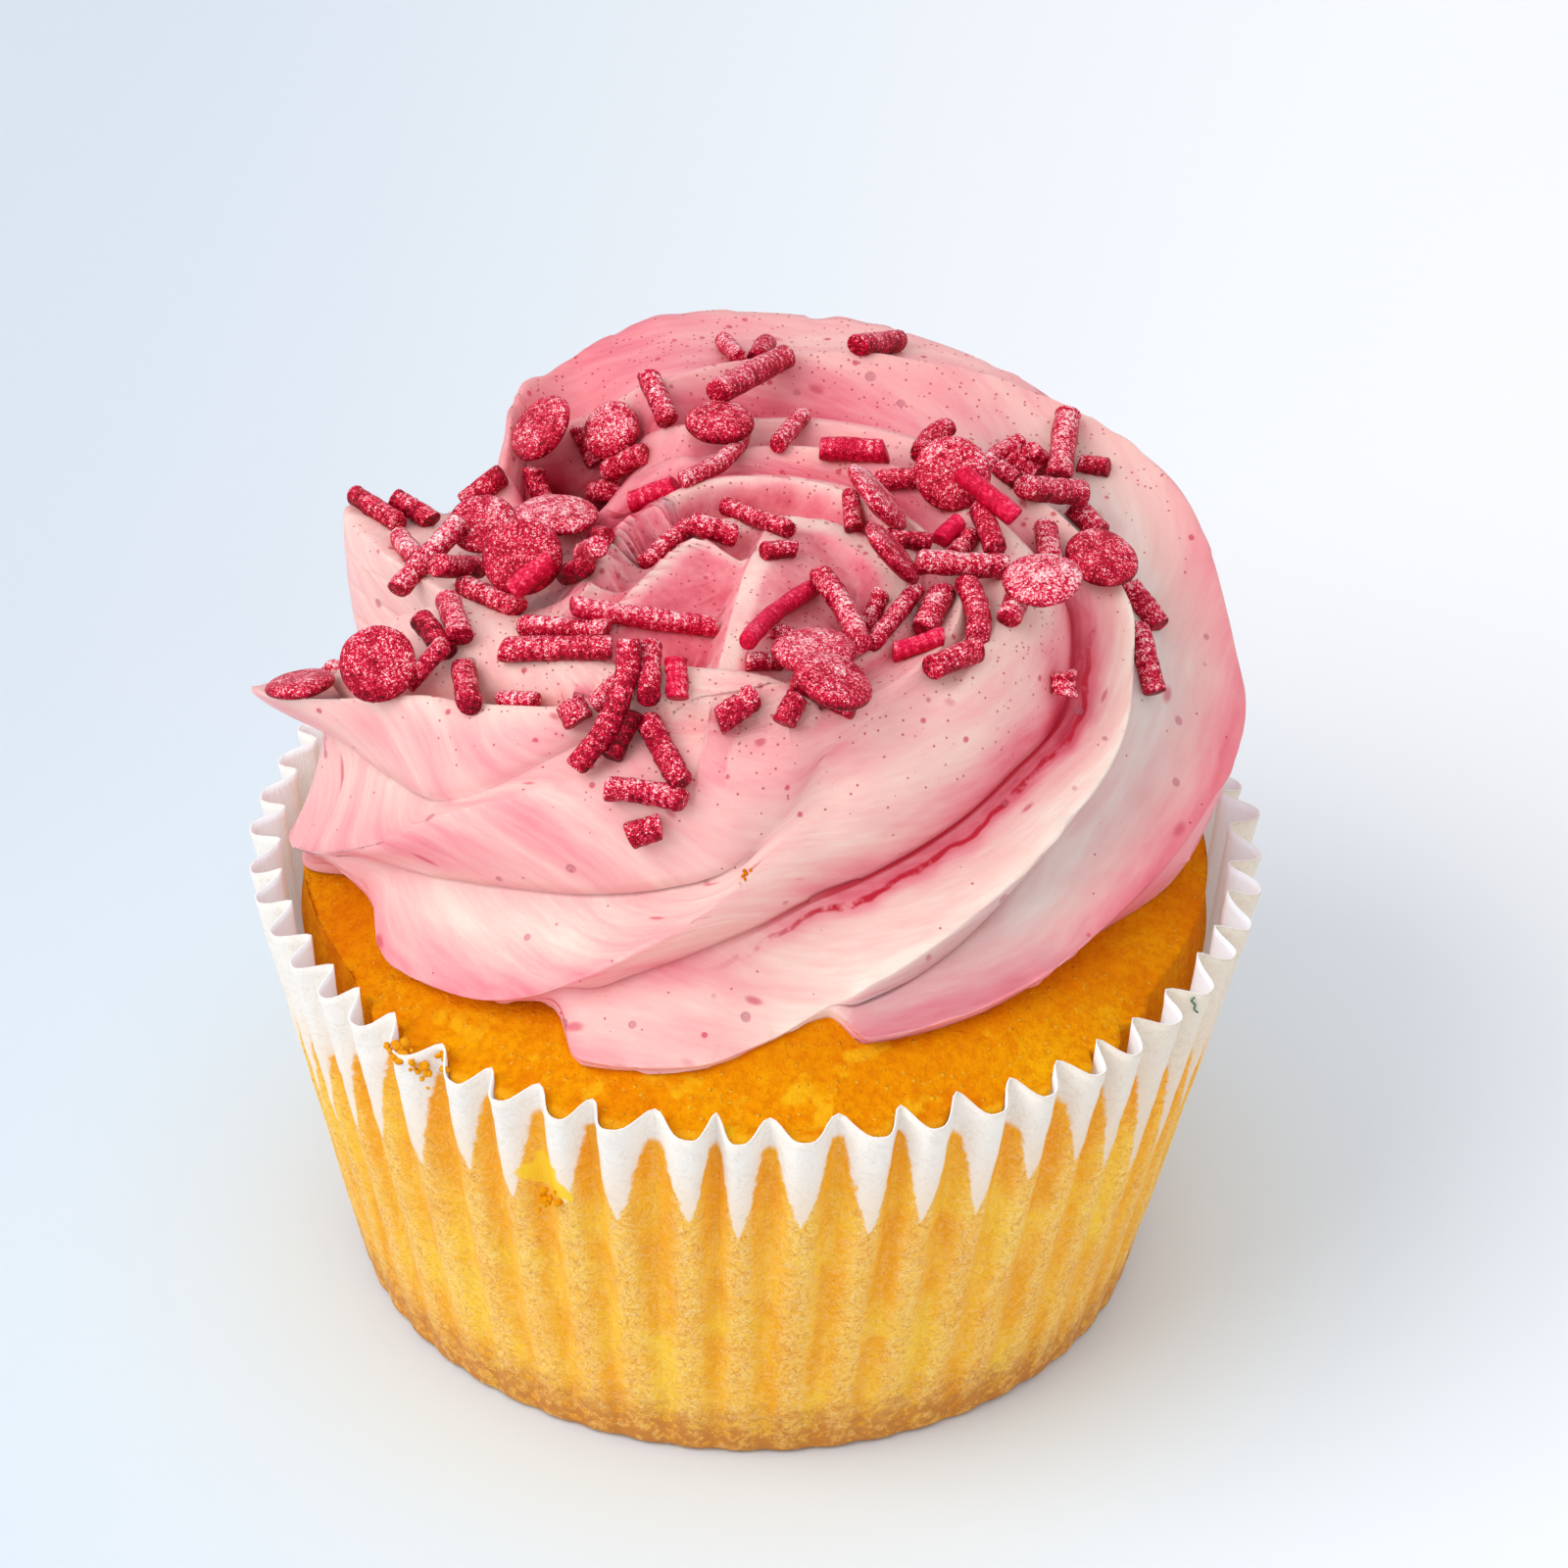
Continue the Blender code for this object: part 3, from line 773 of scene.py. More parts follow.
    # painted glow: the inner side gives off its own colour, standing in for light through the thin paper
    tree.links.new(colour, shader.inputs["Emission Color"])
    tree.links.new(times(tree, within, look["paintedGlow"]), shader.inputs["Emission Strength"])
    fibre = noiseOf(tree, inMillimetres(tree, (1.0, 1.0, 2.5)), 5.0, 3.0)
    tree.links.new(bumpOf(tree, fibre, *look["fibre"]), shader.inputs["Normal"])
    return made


bakedPaper = makeBakedPaper()
makePaperCase()
print("stage: paper case made")


# Every ridge is one tooth of the piping tip.  A row of `ridges` is azimuth, crest radius, crest
# height, then where the groove on the inner side lies (0 is the next crest in, 1 is this crest)
# and how deep it is.  A row of `foot` is azimuth and radius of the lower edge on the sponge.  A row
# of `dye` is azimuth, then the share of pink at the crest, on the face inside it, in the groove
# and in the valley: 0 is cream, 1 a full pink and above 1 the crimson streaks.
buttercream = {
    "ridges": {
        "a": (
            (135, 24.2, 46.6, 0.5, 3.5), (143, 25.4, 44.2, 0.5, 2.5), (151, 30.4, 45.0, 0.5, 1.8),
            (163, 25.5, 46.3, 0.5, 1.5), (178, 20.0, 47.5, 0.4, 1.2), (200, 15.2, 48.6, 0.4, 1.2),
            (232, 12.4, 49.7, 0.4, 1.0), (278, 10.8, 50.0, 0.4, 0.8),
        ),
        "b": (
            (178, 29.0, 40.8, 0.7, 1.8), (184, 32.0, 42.0, 0.72, 2.2), (204, 22.2, 46.1, 0.75, 2.0),
            (242, 14.7, 48.6, 0.7, 1.3), (278, 12.2, 50.0, 0.5, 0.6), (352, 9.3, 50.3, 0.4, 0.8),
            (405, 7.6, 50.5, 0.4, 1.0), (453, 7.0, 50.0, 0.4, 1.0),
        ),
        "c": (
            (177, 27.4, 31.4, 0.36, 2.5), (183, 28.7, 31.8, 0.34, 4.2),
            (189, 29.8, 32.0, 0.36, 4.2), (196, 29.4, 33.5, 0.44, 3.2),
            (207, 27.0, 37.0, 0.64, 1.8), (217, 23.8, 41.0, 0.85, 0.5), (239, 19.0, 45.5, 0.3, 0.4),
            (262, 15.5, 47.7, 0.2, 0.5), (328, 13.6, 50.3, 0.3, 1.0), (400, 10.0, 51.0, 0.35, 1.5),
            (460, 9.7, 51.0, 0.35, 1.2), (490, 9.8, 51.0, 0.35, 0.0), (540, 10.5, 49.8, 0.35, 0.0),
        ),
        "d": (
            (200, 25.6, 31.8, 0.46, 1.8), (217, 27.9, 31.3, 0.46, 2.9), (231, 27.2, 32.0, 0.5, 2.8),
            (256, 23.8, 38.0, 0.73, 1.7), (267, 20.9, 40.5, 0.86, 0.4), (276, 18.6, 42.6, 0.8, 0.0),
            (285, 17.1, 44.2, 0.5, 0.0), (313, 16.1, 47.5, 0.3, 0.3), (333, 15.7, 50.0, 0.3, 0.8),
            (420, 13.0, 51.5, 0.3, 1.5), (480, 12.6, 51.0, 0.3, 1.2),
        ),
        "e": (
            (240, 24.6, 31.8, 0.28, 1.0), (249, 28.1, 31.2, 0.2, 2.0), (262, 27.2, 31.4, 0.26, 2.4),
            (272, 24.9, 31.9, 0.38, 2.3), (283, 22.7, 33.0, 0.48, 2.3),
            (310, 21.3, 36.0, 0.62, 2.4), (330, 22.1, 39.0, 0.68, 2.4),
            (350, 23.4, 42.7, 0.72, 2.4), (365, 23.4, 45.8, 0.7, 2.4), (385, 20.6, 49.2, 0.55, 1.8),
            (420, 17.0, 51.0, 0.4, 1.5), (480, 16.2, 51.0, 0.4, 1.2),
        ),
        "f": (
            (281, 22.6, 32.3, 0.2, 0.0), (286, 25.9, 32.3, 0.2, 0.3), (300, 25.7, 32.4, 0.18, 1.2),
            (327, 25.4, 32.7, 0.15, 2.0), (344, 26.5, 33.5, 0.15, 2.0),
            (372, 31.5, 38.5, 0.15, 2.0), (390, 31.2, 46.3, 0.15, 2.2), (408, 29.0, 49.5, 0.2, 2.2),
            (425, 26.0, 51.3, 0.25, 2.0), (446, 23.5, 51.8, 0.3, 2.0), (480, 20.4, 51.5, 0.3, 1.5),
        ),
        "g": (
            (372, 30.0, 34.0, 0.3, 0.0), (395, 31.6, 43.0, 0.3, 0.0), (423, 30.9, 49.3, 0.1, 0.6),
            (443, 32.0, 50.0, 0.1, 0.8), (462, 32.0, 50.3, 0.1, 0.8), (470, 31.6, 49.3, 0.2, 1.5),
            (477, 30.0, 48.5, 0.3, 2.5), (484, 28.4, 49.2, 0.4, 3.0), (490, 26.0, 48.6, 0.5, 3.5),
            (495, 24.2, 46.6, 0.5, 3.5),
        ),
    },
    "foot": (
        (135, 26.0), (165, 25.8), (187, 28.8), (198, 25.2), (215, 26.6), (238, 23.6), (249, 27.2),
        (262, 26.3), (282, 22.8), (286, 24.8), (327, 24.2), (355, 27.0), (400, 28.6), (460, 28.0),
        (495, 26.0),
    ),
    "dye": {
        "arc": (
            (135, 0.45, 0.5, 0.6, 0.6), (180, 0.5, 0.6, 0.7, 0.6),
        ),
        "a": (
            (135, 0.4, 0.4, 0.5, 0.4), (163, 0.35, 0.4, 0.45, 0.3), (200, 0.2, 0.5, 0.6, 0.35),
            (278, 0.4, 0.5, 0.6, 0.5),
        ),
        "b": (
            (178, 0.5, 0.3, 0.4, 0.35), (204, 0.2, 0.3, 0.4, 0.3), (242, 0.2, 0.35, 0.45, 0.3),
            (352, 0.55, 0.65, 0.85, 0.7), (453, 0.65, 0.75, 0.85, 0.75),
        ),
        "c": (
            (177, 0.65, 0.45, 0.4, 0.45), (196, 0.6, 0.5, 0.35, 0.45), (217, 0.5, 0.5, 0.45, 0.45),
            (262, 0.5, 0.45, 0.5, 0.5), (328, 0.35, 0.55, 0.7, 0.6), (400, 0.4, 0.7, 0.85, 0.75),
            (430, 0.55, 0.95, 1.1, 1.0), (480, 0.6, 0.95, 1.1, 0.95), (540, 0.5, 0.65, 0.8, 0.7),
        ),
        "d": (
            (200, 0.7, 0.65, 0.5, 0.4), (217, 0.7, 0.6, 0.38, 0.22), (231, 0.72, 0.55, 0.42, 0.24),
            (256, 0.45, 0.5, 0.42, 0.35), (285, 0.3, 0.5, 0.45, 0.3), (333, 0.3, 0.4, 0.5, 0.35),
            (420, 0.45, 0.75, 0.95, 0.8), (480, 0.5, 0.75, 0.95, 0.8),
        ),
        "e": (
            (240, 0.65, 0.5, 0.55, 0.42), (262, 0.42, 0.32, 0.54, 0.28),
            (283, 0.12, 0.22, 0.72, 0.33), (310, 0.05, 0.22, 0.85, 0.42),
            (350, 0.05, 0.28, 1.0, 0.5), (368, 0.1, 0.3, 1.1, 0.55), (385, 0.3, 0.4, 0.8, 0.55),
            (480, 0.45, 0.6, 0.8, 0.7),
        ),
        "f": (
            (281, 0.75, 0.5, 0.55, 0.5), (300, 0.7, 0.35, 0.45, 0.4), (327, 0.8, 0.06, 0.14, 0.04),
            (372, 0.75, 0.02, 0.15, 0.06), (400, 0.4, 0.2, 0.35, 0.25), (446, 0.5, 0.85, 1.0, 0.85),
            (480, 0.5, 0.85, 1.0, 0.85),
        ),
        "g": (
            (372, 0.75, 0.7, 0.7, 0.7), (400, 0.6, 0.6, 0.6, 0.6), (423, 0.6, 0.5, 0.6, 0.55),
            (445, 0.62, 0.48, 0.52, 0.48), (466, 0.68, 0.68, 0.78, 0.68),
            (495, 0.55, 0.6, 0.7, 0.6),
        ),
    },
    "seam": 135.0,  # azimuth where the profile begins and ends
    "columns": 624,
    "ridgeRows": (12, 10, 14, 14, 18, 20, 20, 18),  # from the middle out, the first for the arc
    "wallRows": 12,
    "underside": (0.94, 0.86, 0.68, 0.45, 0.2),  # shares of the foot's radius
    "tipSpread": 6.0,  # degrees over which a ridge grows from its tip
    "endSpread": {"a": 30.0, "b": 30.0, "d": 12.0, "e": 12.0, "f": 12.0},
    "handOver": 30.0,  # degrees over which the next ridge becomes the innermost
    "seamSpread": 12.0,
    "deepest": 0.35,  # share of the gap between two crests
    "centreHeight": 49.4,
    # azimuth, share of the slant
    "wallBulge": ((135, 0.08), (158, 0.08), (171, -0.17), (189, -0.17), (203, 0.08), (495, 0.08)),
    "faceBulge": 0.16,
    "valleyDip": 0.05,
    # how far each groove cuts under its lip
    "slit": {"c": 0.45, "d": 0.5, "e": 1.1, "f": 1.0, "g": 1.0},
    "slitLean": 0.7,
    "slitFrom": 14.0,  # radius
    "slitOver": 4.0,
    "sink": 0.35,  # into the crust
    "wallDye": 0.6,
    "underDye": 0.5,
    "dyePlaces": (0.0, 0.45, 1.0, 1.4, 2.0),  # 0 and 2 are crests, 1 is the groove
    "cleftRidge": "e",
    # mauveRidge, mauveSpan and mauveWhole: where the valley turns greyer mauve, painted shade over its own
    # tint
    "mauveRidge": "f",
    "mauveSpan": (279.0, 10.0, 428.0, 26.0),  # azimuths and fades of its two ends
    "mauveWhole": (338.0, 30.0),  # the whole valley is mauve before this
    "crimsonSpan": (258.0, 30.0, 374.0, 22.0),  # of the lines by the cleft
    "farOff": 9.0,  # distance that stands for no cleft
    "rounding": 2,
    "flowRadius": 3.2,  # of the ring that streaks run round
    "centralFlow": (14.5, 4.0, 0.6),  # reach, fade and scale of plain streaks
    "wave": 0.14,
    "waveSizes": (7.0, 3.0),
    "line": 0.05,
    "lineSizes": (1.1, 0.6),
    "ragged": 0.3,
    "raggedSizes": (1.5, 6.0),
    "raggedFrom": 22.0,  # distance from the centre
    "raggedOver": 8.0,
}
# Thin folds that overlap at the middle: x, y and height along the crest, how steeply the fold
# falls on its left and on its right, how wide its lip is, how far the fold reaches, and the dye
# below the lip.  Dents are x, y, reach, depth and how much more dye lies in them, painted shade
# in these hollows; spots are x, y, reach and dye, pinker in places and painted shade in the
# deep cavity.
heart = {
    "folds": (
        (((-11.0, -5.0, 50.5), (-10.3, -1.5, 51.1), (-9.5, 1.2, 51.4), (-8.5, 3.5, 51.6),
          (-6.0, 6.0, 51.7), (-4.0, 7.8, 51.7), (-1.5, 8.6, 51.7), (1.5, 8.6, 51.7),
          (4.0, 7.8, 51.7), (6.5, 5.8, 51.7), (8.0, 4.0, 51.6), (9.5, 1.0, 51.4)),
         1.5, 1.8, 0.6, 4.0, 0.85),
        (((-6.5, 1.0, 49.8), (-5.5, 2.5, 50.4), (-3.5, 4.2, 50.8), (-1.0, 5.0, 50.9),
          (1.5, 5.2, 50.9), (4.0, 4.9, 50.9), (6.0, 3.6, 50.9), (7.5, 2.0, 50.8), (8.7, -0.5, 50.7),
          (9.5, -4.0, 50.4)),
         1.8, 1.2, 1.6, 3.5, 0.8),
        (((-9.5, -6.5, 50.3), (-8.5, -4.5, 50.7), (-7.0, -2.0, 51.0), (-5.5, 0.2, 51.3),
          (-4.0, 1.6, 51.4), (-2.5, 0.6, 51.1), (-1.0, 0.0, 50.6)),
         1.8, 0.33, 0.3, 10.0, 0.85),
        (((-2.8, -12.5, 49.6), (-2.3, -9.5, 50.3), (-1.7, -5.5, 50.9), (-1.0, -1.5, 51.3),
          (-0.2, 1.4, 51.5), (0.3, 3.7, 51.2)),
         1.8, 0.36, 1.2, 6.0, 0.7),
        (((-8.0, -10.8, 49.8), (-4.5, -11.3, 50.3), (-2.0, -11.5, 50.3), (0.5, -12.0, 50.2),
          (3.0, -13.3, 49.9)),
         0.9, 0.6, 0.5, 2.0, 0.35),
    ),
    "dents": (
        (-12.3, 15.5, 2.3, 7.0, 1.8), (-13.0, 19.0, 2.0, 2.5, 0.2), (-10.6, 5.0, 1.3, 1.3, 0.6),
        (-10.5, 19.0, 2.2, 1.6, 0.2), (-9.3, 8.2, 1.7, 1.8, 0.8), (-7.0, 10.3, 1.6, 1.5, 0.6),
        (-4.0, 11.5, 1.4, 0.8, 0.3),
    ),
    "dyeAndShadeSpots": (
        (-9.0, 4.5, 2.5, 0.4), (-12.5, 15.5, 2.4, 1.5), (-8.3, 8.5, 2.0, 0.4),
        (18.7, -5.0, 1.6, 0.3),
    ),
    "aboutX": -1.8,
    "aboutY": -1.5,
    "lowered": 2.4,  # before the folds are laid
    "radius": 11.5,
    "radiusOver": 3.0,
    "within": 16.0,
    "samples": 80,  # along each fold
    "lipDye": 0.3,
    "lipFall": 0.04,  # slope on the lip
    "endFall": 0.9,  # slope past a fold's ends
    "reachFall": (4.0, 1.5),  # and past its reach
    "round": 0.12,  # of the edge of the lip
}
innerRidges = ("arc", "a", "b")
notchRidges = ("d", "e", "f")


def presence(name, turn):
    # 0 before a ridge's tip, 1 along it, and 0 again past its end
    if name == "arc":
        end = buttercream["ridges"]["c"][-1][0] - fullTurn
        return smoothStep((end - turn) / buttercream["handOver"])
    first, last = buttercream["ridges"][name][0][0], buttercream["ridges"][name][-1][0]
    grown = np.ones_like(turn)
    if first > buttercream["seam"]:
        grown = smoothStep((turn - first) / buttercream["tipSpread"])
    if name not in buttercream["endSpread"]:
        return grown
    return grown * smoothStep((last - turn) / buttercream["endSpread"][name])


def pastMiddle(name, turn):
    # true where an absent ridge has ended, false where it is yet to begin
    if name == "arc":
        return turn > buttercream["seam"]
    return turn > 0.5 * (buttercream["ridges"][name][0][0] + buttercream["ridges"][name][-1][0])


def between(turn, start, startOver, end, endOver):
    # 0, then rises to 1 past `start`, and falls to 0 again towards `end`
    return smoothStep((turn - start) / startOver) * smoothStep((end - turn) / endOver)


def outOf(along):
    # unit normal that points out of the buttercream, for a step taken from the centre out
    length = np.maximum(np.hypot(along[:, 0], along[:, 1]), 1e-6)[:, None]
    return np.stack([-along[:, 1], along[:, 0]], axis=1) / length


def onWall(turn, top, foot, share):
    # straight slope from a crest to the foot, swelled or hollowed by a parabola
    along = foot - top
    bulge = curveThrough(buttercream["wallBulge"], turn)
    slant = np.hypot(along[:, 0], along[:, 1])[:, None]
    return top + share * along + 4.0 * share * (1.0 - share) * bulge * slant * outOf(along)


def inNotch(inner, outer, share):
    # two straight slopes that meet half way between two crests
    along = outer[:, :2] - inner[:, :2]
    drop = outer[:, 3:4] * (1.0 - abs(2.0 * share - 1.0))
    return inner[:, :2] + share * along - drop * outOf(along)


def crestLines(turn):
    # (radius, height) of each crest from the centre out, its groove, and the top of the outer wall;
    # an absent ridge is spread evenly over what lies between its neighbours
    ridges = buttercream["ridges"]
    lines = {name: curveThrough(rows, turn) for name, rows in ridges.items()}
    lines = {"arc": curveThrough(ridges["c"], turn + fullTurn), **lines}
    footRadius = curveThrough(buttercream["foot"], turn)[:, 0]
    foot = np.stack([footRadius, crustHeight(footRadius) - buttercream["sink"]], axis=1)
    centre = np.stack([np.zeros_like(turn), np.full_like(turn, buttercream["centreHeight"])], axis=1)
    toB = smoothStep((turn - ridges["a"][-1][0]) / buttercream["handOver"] + 1.0)[:, None]
    toC = smoothStep((turn - ridges["b"][-1][0]) / buttercream["handOver"] + 1.0)[:, None]
    innermost = (1 - toB) * lines["a"] + toB * lines["b"]
    innermost = ((1 - toC) * innermost + toC * lines["c"])[:, :2]
    crests, grooves = [centre], []
    wallTop = centre
    fallen = np.zeros((len(turn), 1))
    for rank, (name, line) in enumerate(lines.items()):
        there = presence(name, turn)[:, None]
        ended = pastMiddle(name, turn)[:, None]
        lower = fallen + (1.0 - fallen) / (len(lines) - rank + 1.0)
        away = onWall(turn, wallTop, foot, lower)
        if name in innerRidges:
            share = (rank + 1.0) / (len(innerRidges) + 1.0)
            away = np.where(ended, centre + (innermost - centre) * share, away)
        elif name in notchRidges:
            share = (notchRidges.index(name) + 1.0) / (len(notchRidges) + 1.0)
            away = np.where(ended, inNotch(lines["c"], lines["g"], share), away)
        crests.append(there * line[:, :2] + (1 - there) * away)
        grooves.append((name, line[:, 2:3], line[:, 3:4], there))
        wallTop = there * line[:, :2] + (1 - there) * wallTop
        fallen = np.where(ended, 0.0, (1 - there) * lower)
    return crests, grooves, wallTop, fallen, foot


def swirlProfile(turn):
    # rows of (radius, height) from the centre over the ridges and down the outer wall: between two
    # crests, a face that bulges down to a groove and a valley that dips up to the next crest, both
    # by parabolas.  With each row go its dye, how close it is to a crest and to a groove, the
    # distance from the centre, the distance from the cleft, and the share of mauve, which is painted
    # shade over the valley's own greyer tint.
    own = buttercream
    crests, grooves, wallTop, fallen, foot = crestLines(turn)
    whole = np.ones(len(turn))
    rows, tint, crestNess, grooveNess, across, cleft, mauve = [], [], [], [], [], [], []
    # mauve: painted shade over the valley inside the f crest, which faces away from the lamp, on top of its
    # own greyer tint
    shaded = between(turn, *own["mauveSpan"])
    towardsTip = smoothStep((own["mauveWhole"][0] - turn) / own["mauveWhole"][1])
    lastCrestDye = own["wallDye"] * whole
    offset = np.zeros(len(turn))
    cleftRank = [groove[0] for groove in grooves].index(own["cleftRidge"])
    for rank, (name, place, depth, there) in enumerate(grooves):
        inner, outer = crests[rank], crests[rank + 1]
        count = own["ridgeRows"][rank]
        along = outer - inner
        normal = outOf(along)
        span = np.hypot(along[:, 0], along[:, 1])[:, None]
        depth = np.minimum(depth * there, own["deepest"] * span)
        bottom = inner + place * along - depth * normal
        crestDye, faceDye, grooveDye, valleyDye = curveThrough(own["dye"][name], turn).T
        present = there[:, 0]
        crestDye = present * crestDye + (1 - present) * lastCrestDye
        for step in range(count):
            # where is 0 at the crest inside, 1 in the groove and 2 at the crest outside
            part = 0.5 - 0.5 * math.cos(2.0 * math.pi * step / count)
            start, end, swell, where = inner, bottom, own["faceBulge"], part
            if 2 * step >= count:
                part = 1.0 - part
                start, end, swell, where = bottom, outer, -own["valleyDip"], 1.0 + part
            length = np.hypot(end[:, 0] - start[:, 0], end[:, 1] - start[:, 1])[:, None]
            arch = 4.0 * part * (1.0 - part) * swell * length * there
            row = start + part * (end - start) + arch * normal
            if where == 1.0:
                deep = own["slit"].get(name, 1.0) * np.minimum(depth, 1.0)
                deep = deep * smoothStep((bottom[:, :1] - own["slitFrom"]) / own["slitOver"])
                row = row - deep * own["slitLean"] * (normal + along / span)
            rows.append(row)
            dyes = (lastCrestDye, faceDye, grooveDye, valleyDye, crestDye)
            shade = sum(np.interp(where, own["dyePlaces"], near) * ink
                        for near, ink in zip(np.eye(len(dyes)), dyes))
            plain = (1 - where / 2) * lastCrestDye + where / 2 * crestDye
            tint.append(present * shade + (1 - present) * plain)
            crestNess.append(max(0.0, 1.0 - 4.0 * min(where, 2.0 - where)) * whole)
            grooveNess.append(present * max(0.0, 1.0 - 5.0 * abs(where - 1.0)))
            across.append(offset + span[:, 0] * where / 2)
            run = (part - 1.0 if where < 1.0 else part) * length[:, 0]
            before = rank < cleftRank or (rank == cleftRank and where < 1.0)
            beyond = (-own["farOff"] if before else own["farOff"]) * whole
            cleft.append(present * run + (1 - present) * beyond if rank == cleftRank else beyond)
            valley = np.maximum(towardsTip, smoothStep((1.95 - where) / 0.6)) * smoothStep(where / 0.15)
            mauve.append(shaded * (valley if name == own["mauveRidge"] else 0.0))
        offset = offset + span[:, 0]
        lastCrestDye = crestDye
    slant = np.hypot(*(foot - wallTop).T)
    for share in np.arange(own["wallRows"] + 1) / own["wallRows"]:
        rows.append(onWall(turn, wallTop, foot, fallen + (1.0 - fallen) * share))
        tint.append(lastCrestDye + (own["wallDye"] - lastCrestDye) * share)
        crestNess.append(max(0.0, 1.0 - 4.0 * share) * whole)
        grooveNess.append(0.0 * whole)
        across.append(offset + slant * share)
        cleft.append(own["farOff"] * whole)
        mauve.append(shaded * towardsTip)
    top = len(rows)
    layers = (tint, crestNess, grooveNess, across, cleft, mauve)
    for share in own["underside"]:
        radius = foot[:, 0] * share
        rows.append(np.stack([radius, crustHeight(radius) - own["sink"]], axis=1))
        for layer, value in zip(layers, (own["underDye"], 0.0, 0.0, 0.0, own["farOff"], 0.0)):
            layer.append(value * whole)
    return np.array(rows), [np.array(layer) for layer in layers], top


def spreadEvenly(turn, top, rows, *values):
    # near the seam, slides each column's points along its own line to even steps
    past = turn - buttercream["seam"]
    share = smoothStep(1.0 - np.minimum(past, fullTurn - past) / buttercream["seamSpread"])
    for column in np.flatnonzero(share):
        points = rows[:top, column]
        place = np.concatenate([[0.0], np.cumsum(np.hypot(*np.diff(points, axis=0).T))])
        even = np.linspace(0.0, place[-1], top)
        wanted = place + share[column] * (even - place)
        rows[:top, column] = np.stack([np.interp(wanted, place, axis) for axis in points.T], 1)
        for value in values:
            value[:top, column] = np.interp(wanted, place, value[:top, column])
    return share


def layFolds(grid, tint):
    # the middle is lowered and dented by bell curves, then raised again to the highest of the
    # folds: a fold's height is its crest's less slope x (distance past its lip)
    x, y, z = grid[..., 0], grid[..., 1], grid[..., 2]
    away = np.hypot(x - heart["aboutX"], y - heart["aboutY"])
    z = z - heart["lowered"] * smoothStep((heart["radius"] - away) / heart["radiusOver"])
    near = away < heart["within"]
    for dentX, dentY, reach, depth, deeper in heart["dents"]:
        dent = np.exp(-((x - dentX) ** 2 + (y - dentY) ** 2) / reach ** 2)
        z = z - depth * dent
        # more dye in each dent: painted shade in the hollow
        tint += deeper * dent
    best, shade = z[near], tint[near]
    spot = np.stack([x[near], y[near]], axis=-1)
    last = heart["samples"] - 1
    for crest, left, right, lip, reach, faceDye in heart["folds"]:
        stations = np.array([(index, *row) for index, row in enumerate(crest)])
        line = curveThrough(stations, np.linspace(0, len(crest) - 1, last + 1))
        ahead = np.gradient(line[:, :2], axis=0)
        # the nearest place on the crest, then the gap square to it
        gap = spot[:, None] - line[None, :, :2]
        pick = np.argmin((gap ** 2).sum(axis=-1), axis=1)
        gap = gap[np.arange(len(pick)), pick]
        slide = (gap * ahead[pick]).sum(axis=-1) / (ahead[pick] ** 2).sum(axis=-1)
        slide = np.clip(slide, -0.5, 0.5)
        gap = gap - slide[:, None] * ahead[pick]
        crestAt = line[pick, 2] + slide * np.gradient(line[:, 2])[pick]
        rightOf = gap[:, 0] * ahead[pick, 1] - gap[:, 1] * ahead[pick, 0] > 0
        far = np.hypot(gap[:, 0], gap[:, 1])
        past = np.where(rightOf, np.maximum(far - lip, 0.0), far)
        fall = np.hypot(past, heart["round"]) - heart["round"] + heart["lipFall"] * far * rightOf
        over = np.maximum(far - reach, 0.0)
        fall = fall + heart["endFall"] * far * ((pick == 0) | (pick == last))
        fall = fall + heart["reachFall"][0] * over + heart["reachFall"][1] * over ** 2
        level = crestAt - np.where(rightOf, right, left) * fall
        face = heart["lipDye"] + (faceDye - heart["lipDye"]) * smoothStep(far - 0.6 * lip)
        shade = np.where(level > best, np.where(rightOf, face, faceDye), shade)
        best = np.maximum(level, best)
    grid[..., 2] = z
    grid[near, 2] = best
    tint[near] = shade
    # pinker spots, and painted shade in the deep cavity
    for spotX, spotY, reach, deeper in heart["dyeAndShadeSpots"]:
        tint += deeper * np.exp(-((x - spotX) ** 2 + (y - spotY) ** 2) / reach ** 2)


def flowAlong(turn, grid, rows, across, seamShare):
    # where each point lies along and across the ridges, for streaks: a ring for the turn and the
    # distance from the centre for height, changed to plain places at the middle
    steps = np.hypot(*np.diff(rows, axis=0).transpose(2, 0, 1))
    arc = np.concatenate([np.zeros((1, len(turn))), np.cumsum(steps, axis=0)])
    across = (1 - seamShare) * across + seamShare * arc
    angle = np.radians(turn) + 0 * across
    ring = buttercream["flowRadius"] * np.stack([np.cos(angle), np.sin(angle)])
    flow = np.stack([*ring, across], axis=-1)
    away = np.hypot(grid[..., 0] - heart["aboutX"], grid[..., 1] - heart["aboutY"])
    reach, over, scale = buttercream["centralFlow"]
    central = smoothStep((reach - away) / over)[..., None]
    return (1 - central) * flow + central * grid * scale, across


